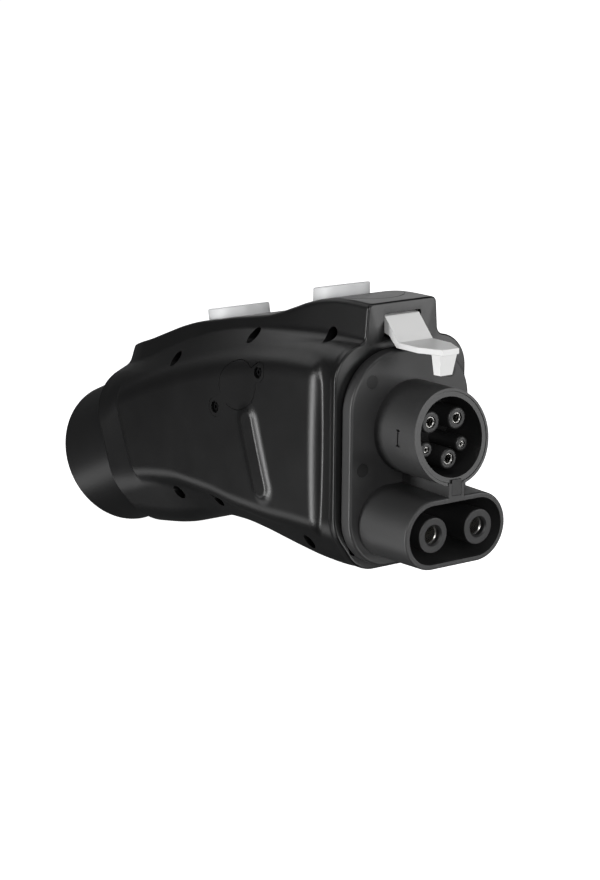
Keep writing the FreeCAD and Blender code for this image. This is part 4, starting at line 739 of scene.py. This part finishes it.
def openings():   # what both halves have cut out of them
    c = cutOuts
    tilt = math.radians(c["startTilt"])
    startWay = Vector((0, math.sin(tilt), math.cos(tilt)))
    y, z = c["startAt"]
    deep, tall = c["startDeep"], c["wellTall"]
    tools = [block(*c["latchSlot"], c["slotRound"]),
             barrel((0, c["releaseAt"], c["releaseFloor"]), (0, 0, 1), c["releaseHole"], tall, 96),
             barrel((0, y - deep * startWay.y, z - deep * startWay.z), startWay, c["startHole"], tall, 96),
             barrel((0, c["frontY"], 0), (0, 1, 0), c["spigotHole"], c["frontDeep"], 96),
             block(*c["neckSlot"]),
             block(*c["ovalSlot"], c["ovalRound"]),
             barrel(inletSpot(c["boreEnd"]), -inletAhead, c["bore"], tall, 128)]
    # engraved line round the release button, two half circles joined along the hump
    line = []
    for way, middle in ((1, c["lineFront"]), (-1, c["releaseAt"])):
        for k in range(49):
            angle = math.pi * k / 48
            line.append((way * c["lineRadius"] * math.cos(angle), middle - way * c["lineRadius"] * math.sin(angle)))
    tools.append(grooveTool([(x, q, lineAt("top", q)) for x, q in line], c["lineWidth"]))
    return tools


def housingHalf(name, side):   # side is -1 on the left and 1 on the right
    # The halves end 0.01 mm short of the middle, and the hollow runs 1 mm past it.
    piece = ringSolid(name, outerLoops(side), 0.01 * side)
    hollow = ringSolid("hollow", innerLoops(side), -1.0 * side)
    tools = openings()
    if side < 0:
        far = cutOuts["outside"]
        for y, z, seat in cutOuts["screws"]:
            post = barrel((-far, y, z), (1, 0, 0), cutOuts["boss"], far - seat + cutOuts["bossFloor"])
            combine(hollow, "DIFFERENCE", [post])
            tools.append(barrel((-far, y, z), (1, 0, 0), cutOuts["recess"], far - seat))
            tools.append(barrel((-far, y, z), (1, 0, 0), cutOuts["screwHole"], far))
    tool = tools.pop(0)
    combine(tool, "UNION", tools)
    return combine(piece, "DIFFERENCE", [hollow, tool])


shellLeft = housingHalf("housing_shell_left", -1)
print("left half done", len(shellLeft.data.polygons))
shellRight = housingHalf("housing_shell_right", 1)
print("right half done", len(shellRight.data.polygons))

# service hatch: the same skin inside a thin seam
door = shellLeft.copy()
door.data = shellLeft.data.copy()
door.name = door.data.name = "service_hatch_door"
bpy.context.collection.objects.link(door)
combine(door, "INTERSECT", [outlinePrism("doorZone", hatchOutline(0.0), hatch["outside"], hatch["inside"])])
combine(shellLeft, "DIFFERENCE",
        [outlinePrism("doorHole", hatchOutline(hatch["gap"]), hatch["outside"], hatch["inside"])])
for y, z in hatch["screws"]:
    # the floor is measured a little behind the screw's centre, where the panel stands out less
    floorX = surfaceX(door, y + hatch["recess"] * 0.6, z) + hatch["sink"]
    combine(door, "DIFFERENCE", [barrel((hatch["outside"], y, z), (1, 0, 0), hatch["recess"],
                                        floorX - hatch["outside"], 48)])
for shell, node in ((shellLeft, "housing_left"), (shellRight, "housing_right"), (door, "service_hatch")):
    dress(shell, "housing", 34)
    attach(shell, "housing")
    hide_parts(node)
print("housing built", len(shellLeft.data.polygons) + len(shellRight.data.polygons))


# housing screws: pan heads with a six-sided socket, deep in their recesses
screwShape = {"head": 2.9, "headTall": 2.3, "headRound": 0.4, "shank": 1.45, "long": 16.0, "shankIn": 0.5,
              "socket": 1.3, "socketDeep": 1.4}


def housingScrews():
    shape = screwShape
    pieces = []
    for y, z, seat in cutOuts["screws"]:
        top = -seat - shape["headTall"]
        head = barrel((top, y, z), (1, 0, 0), shape["head"], shape["headTall"], 48)
        softenEdges(head, shape["headRound"], 3)
        combine(head, "UNION", [barrel((-seat - shape["shankIn"], y, z), (1, 0, 0), shape["shank"],
                                       shape["long"], 24)])
        combine(head, "DIFFERENCE", [barrel((top - 1, y, z), (1, 0, 0), shape["socket"],
                                            shape["socketDeep"] + 1, 6)])
        pieces.append(head)
    onlySelect(pieces[0])
    for piece in pieces:
        piece.select_set(True)
    bpy.ops.object.join()
    screws = bpy.context.object
    screws.name = screws.data.name = "housing_screw_set"
    # near-black steel on the heads, painted shade standing in for deep recesses
    dress(screws, "screwSteelPaintedShade", 35)
    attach(screws, "housing")
    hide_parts("housing_screws")


housingScrews()
print("screws built")

# Push buttons: round caps with a soft rim and a dished top. The front one's top leans, as a slope along Y.
buttons = {
    "front": {"name": "release_cap", "node": "release_button", "at": (82.3, 0.0), "radius": 13.5, "low": 44.2,
              "top": 58.75, "lean": 0.21, "tilt": 0.0, "dish": 1.1, "flat": 12.2, "round": 0.9, "wall": 1.8},
    "rear": {"name": "start_cap", "node": "start_button", "at": (164.0, 30.75), "radius": 15.5, "low": -6.0,
             "top": 5.6, "lean": 0.0, "tilt": 12.5, "dish": 1.2, "flat": 14.1, "round": 0.9, "wall": 1.8},
}


def buttonCap(spec):
    # The face is pulled along the outline, out of the hollow, round the lip, up the side and over the rim.
    r, low, top, soft, flat = (spec[k] for k in ("radius", "low", "top", "round", "flat"))
    bore, roof = r - spec["wall"], top - spec["dish"] - spec["wall"]
    heart = bore * 0.2   # radius of the small face that it starts from
    outline = [(bore, roof), (bore, low), (r, low), (r, top - soft)]
    for k in range(1, 7):
        angle = math.radians(15 * k)
        outline.append((r - soft * (1 - math.cos(angle)), top - soft * (1 - math.sin(angle))))
    for k in range(13):
        away = flat * (1 - k / 12.5)
        outline.append((away, top - spec["dish"] * (math.cos(math.pi * away / flat) + 1) / 2))
    nothingSelected()
    bpy.ops.mesh.primitive_circle_add(vertices=128, radius=heart / 1000, fill_type="NGON",
                                      location=(0, 0, roof / 1000))
    cap = bpy.context.object
    cap.name = cap.data.name = spec["name"]
    settle(cap)
    editWhole(cap)
    before = (heart, roof)
    for away, height in outline:
        bpy.ops.mesh.extrude_region_move(TRANSFORM_OT_translate={"value": (0, 0, (height - before[1]) / 1000)})
        grow = away / before[0]
        bpy.ops.transform.resize(value=(grow, grow, 1), center_override=(0, 0, 0))
        before = (away, height)
    turnOutward(cap)
    for spot in cap.data.vertices:
        if spot.co.z * 1000 > low + 3:   # all but the lower rim
            spot.co.z -= spec["lean"] * spot.co.y
    turn = Matrix.Rotation(-math.radians(spec["tilt"]), 4, "X")
    cap.data.transform(Matrix.Translation(place(0, *spec["at"])) @ turn)
    dress(cap, "button", 40)
    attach(cap, spec["node"])
    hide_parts(spec["node"])


for spec in buttons.values():
    buttonCap(spec)
print("buttons built")

# Coil springs: wire wound up from the foot. keep is what is left of the height at the joint's limit.
springs = {
    "latch": {"name": "latch_coil", "node": "latch_spring", "joint": "latch_hinge", "at": (86.0, 26.05), "tilt": 0.0,
              "r": 3.2, "wire": 0.45, "tall": 12.2, "turns": 6, "keep": 0.6},
    "start": {"name": "start_coil", "node": "start_spring", "joint": "start_slide", "at": (160.55, 15.18),
              "tilt": 12.5, "r": 5.4, "wire": 0.5, "tall": 18.6, "turns": 5, "keep": 0.92},
}


def coilSpring(spec):
    wire = spec["wire"] / 1000
    nothingSelected()
    bpy.ops.mesh.primitive_circle_add(vertices=12, radius=wire, location=(spec["r"] / 1000, 0, wire),
                                      rotation=(math.pi / 2, 0, 0))
    coil = bpy.context.object
    coil.name = coil.data.name = spec["name"]
    settle(coil)
    bpy.ops.object.modifier_add(type="SCREW")
    turns = coil.modifiers[-1]
    turns.axis = "Z"
    turns.steps = turns.render_steps = 40
    turns.iterations = spec["turns"]
    turns.screw_offset = (spec["tall"] / 1000 - 2 * wire) / spec["turns"]
    applyAll(coil)
    editWhole(coil)
    bpy.ops.mesh.select_mode(type="EDGE")
    bpy.ops.mesh.select_all(action="DESELECT")
    bpy.ops.mesh.select_non_manifold()
    bpy.ops.mesh.fill_holes(sides=0)   # closes the wire's two ends
    bpy.ops.mesh.select_mode(type="VERT")
    turnOutward(coil)
    turn = Matrix.Rotation(-math.radians(spec["tilt"]), 4, "X")
    coil.data.transform(Matrix.Translation(place(0, *spec["at"])) @ turn)
    dress(coil, "steel", 40)
    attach(coil, "housing")
    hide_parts(spec["node"])
    place(0, *spec["at"])
    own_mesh(coil)


for spec in springs.values():
    coilSpring(spec)
print("springs built")
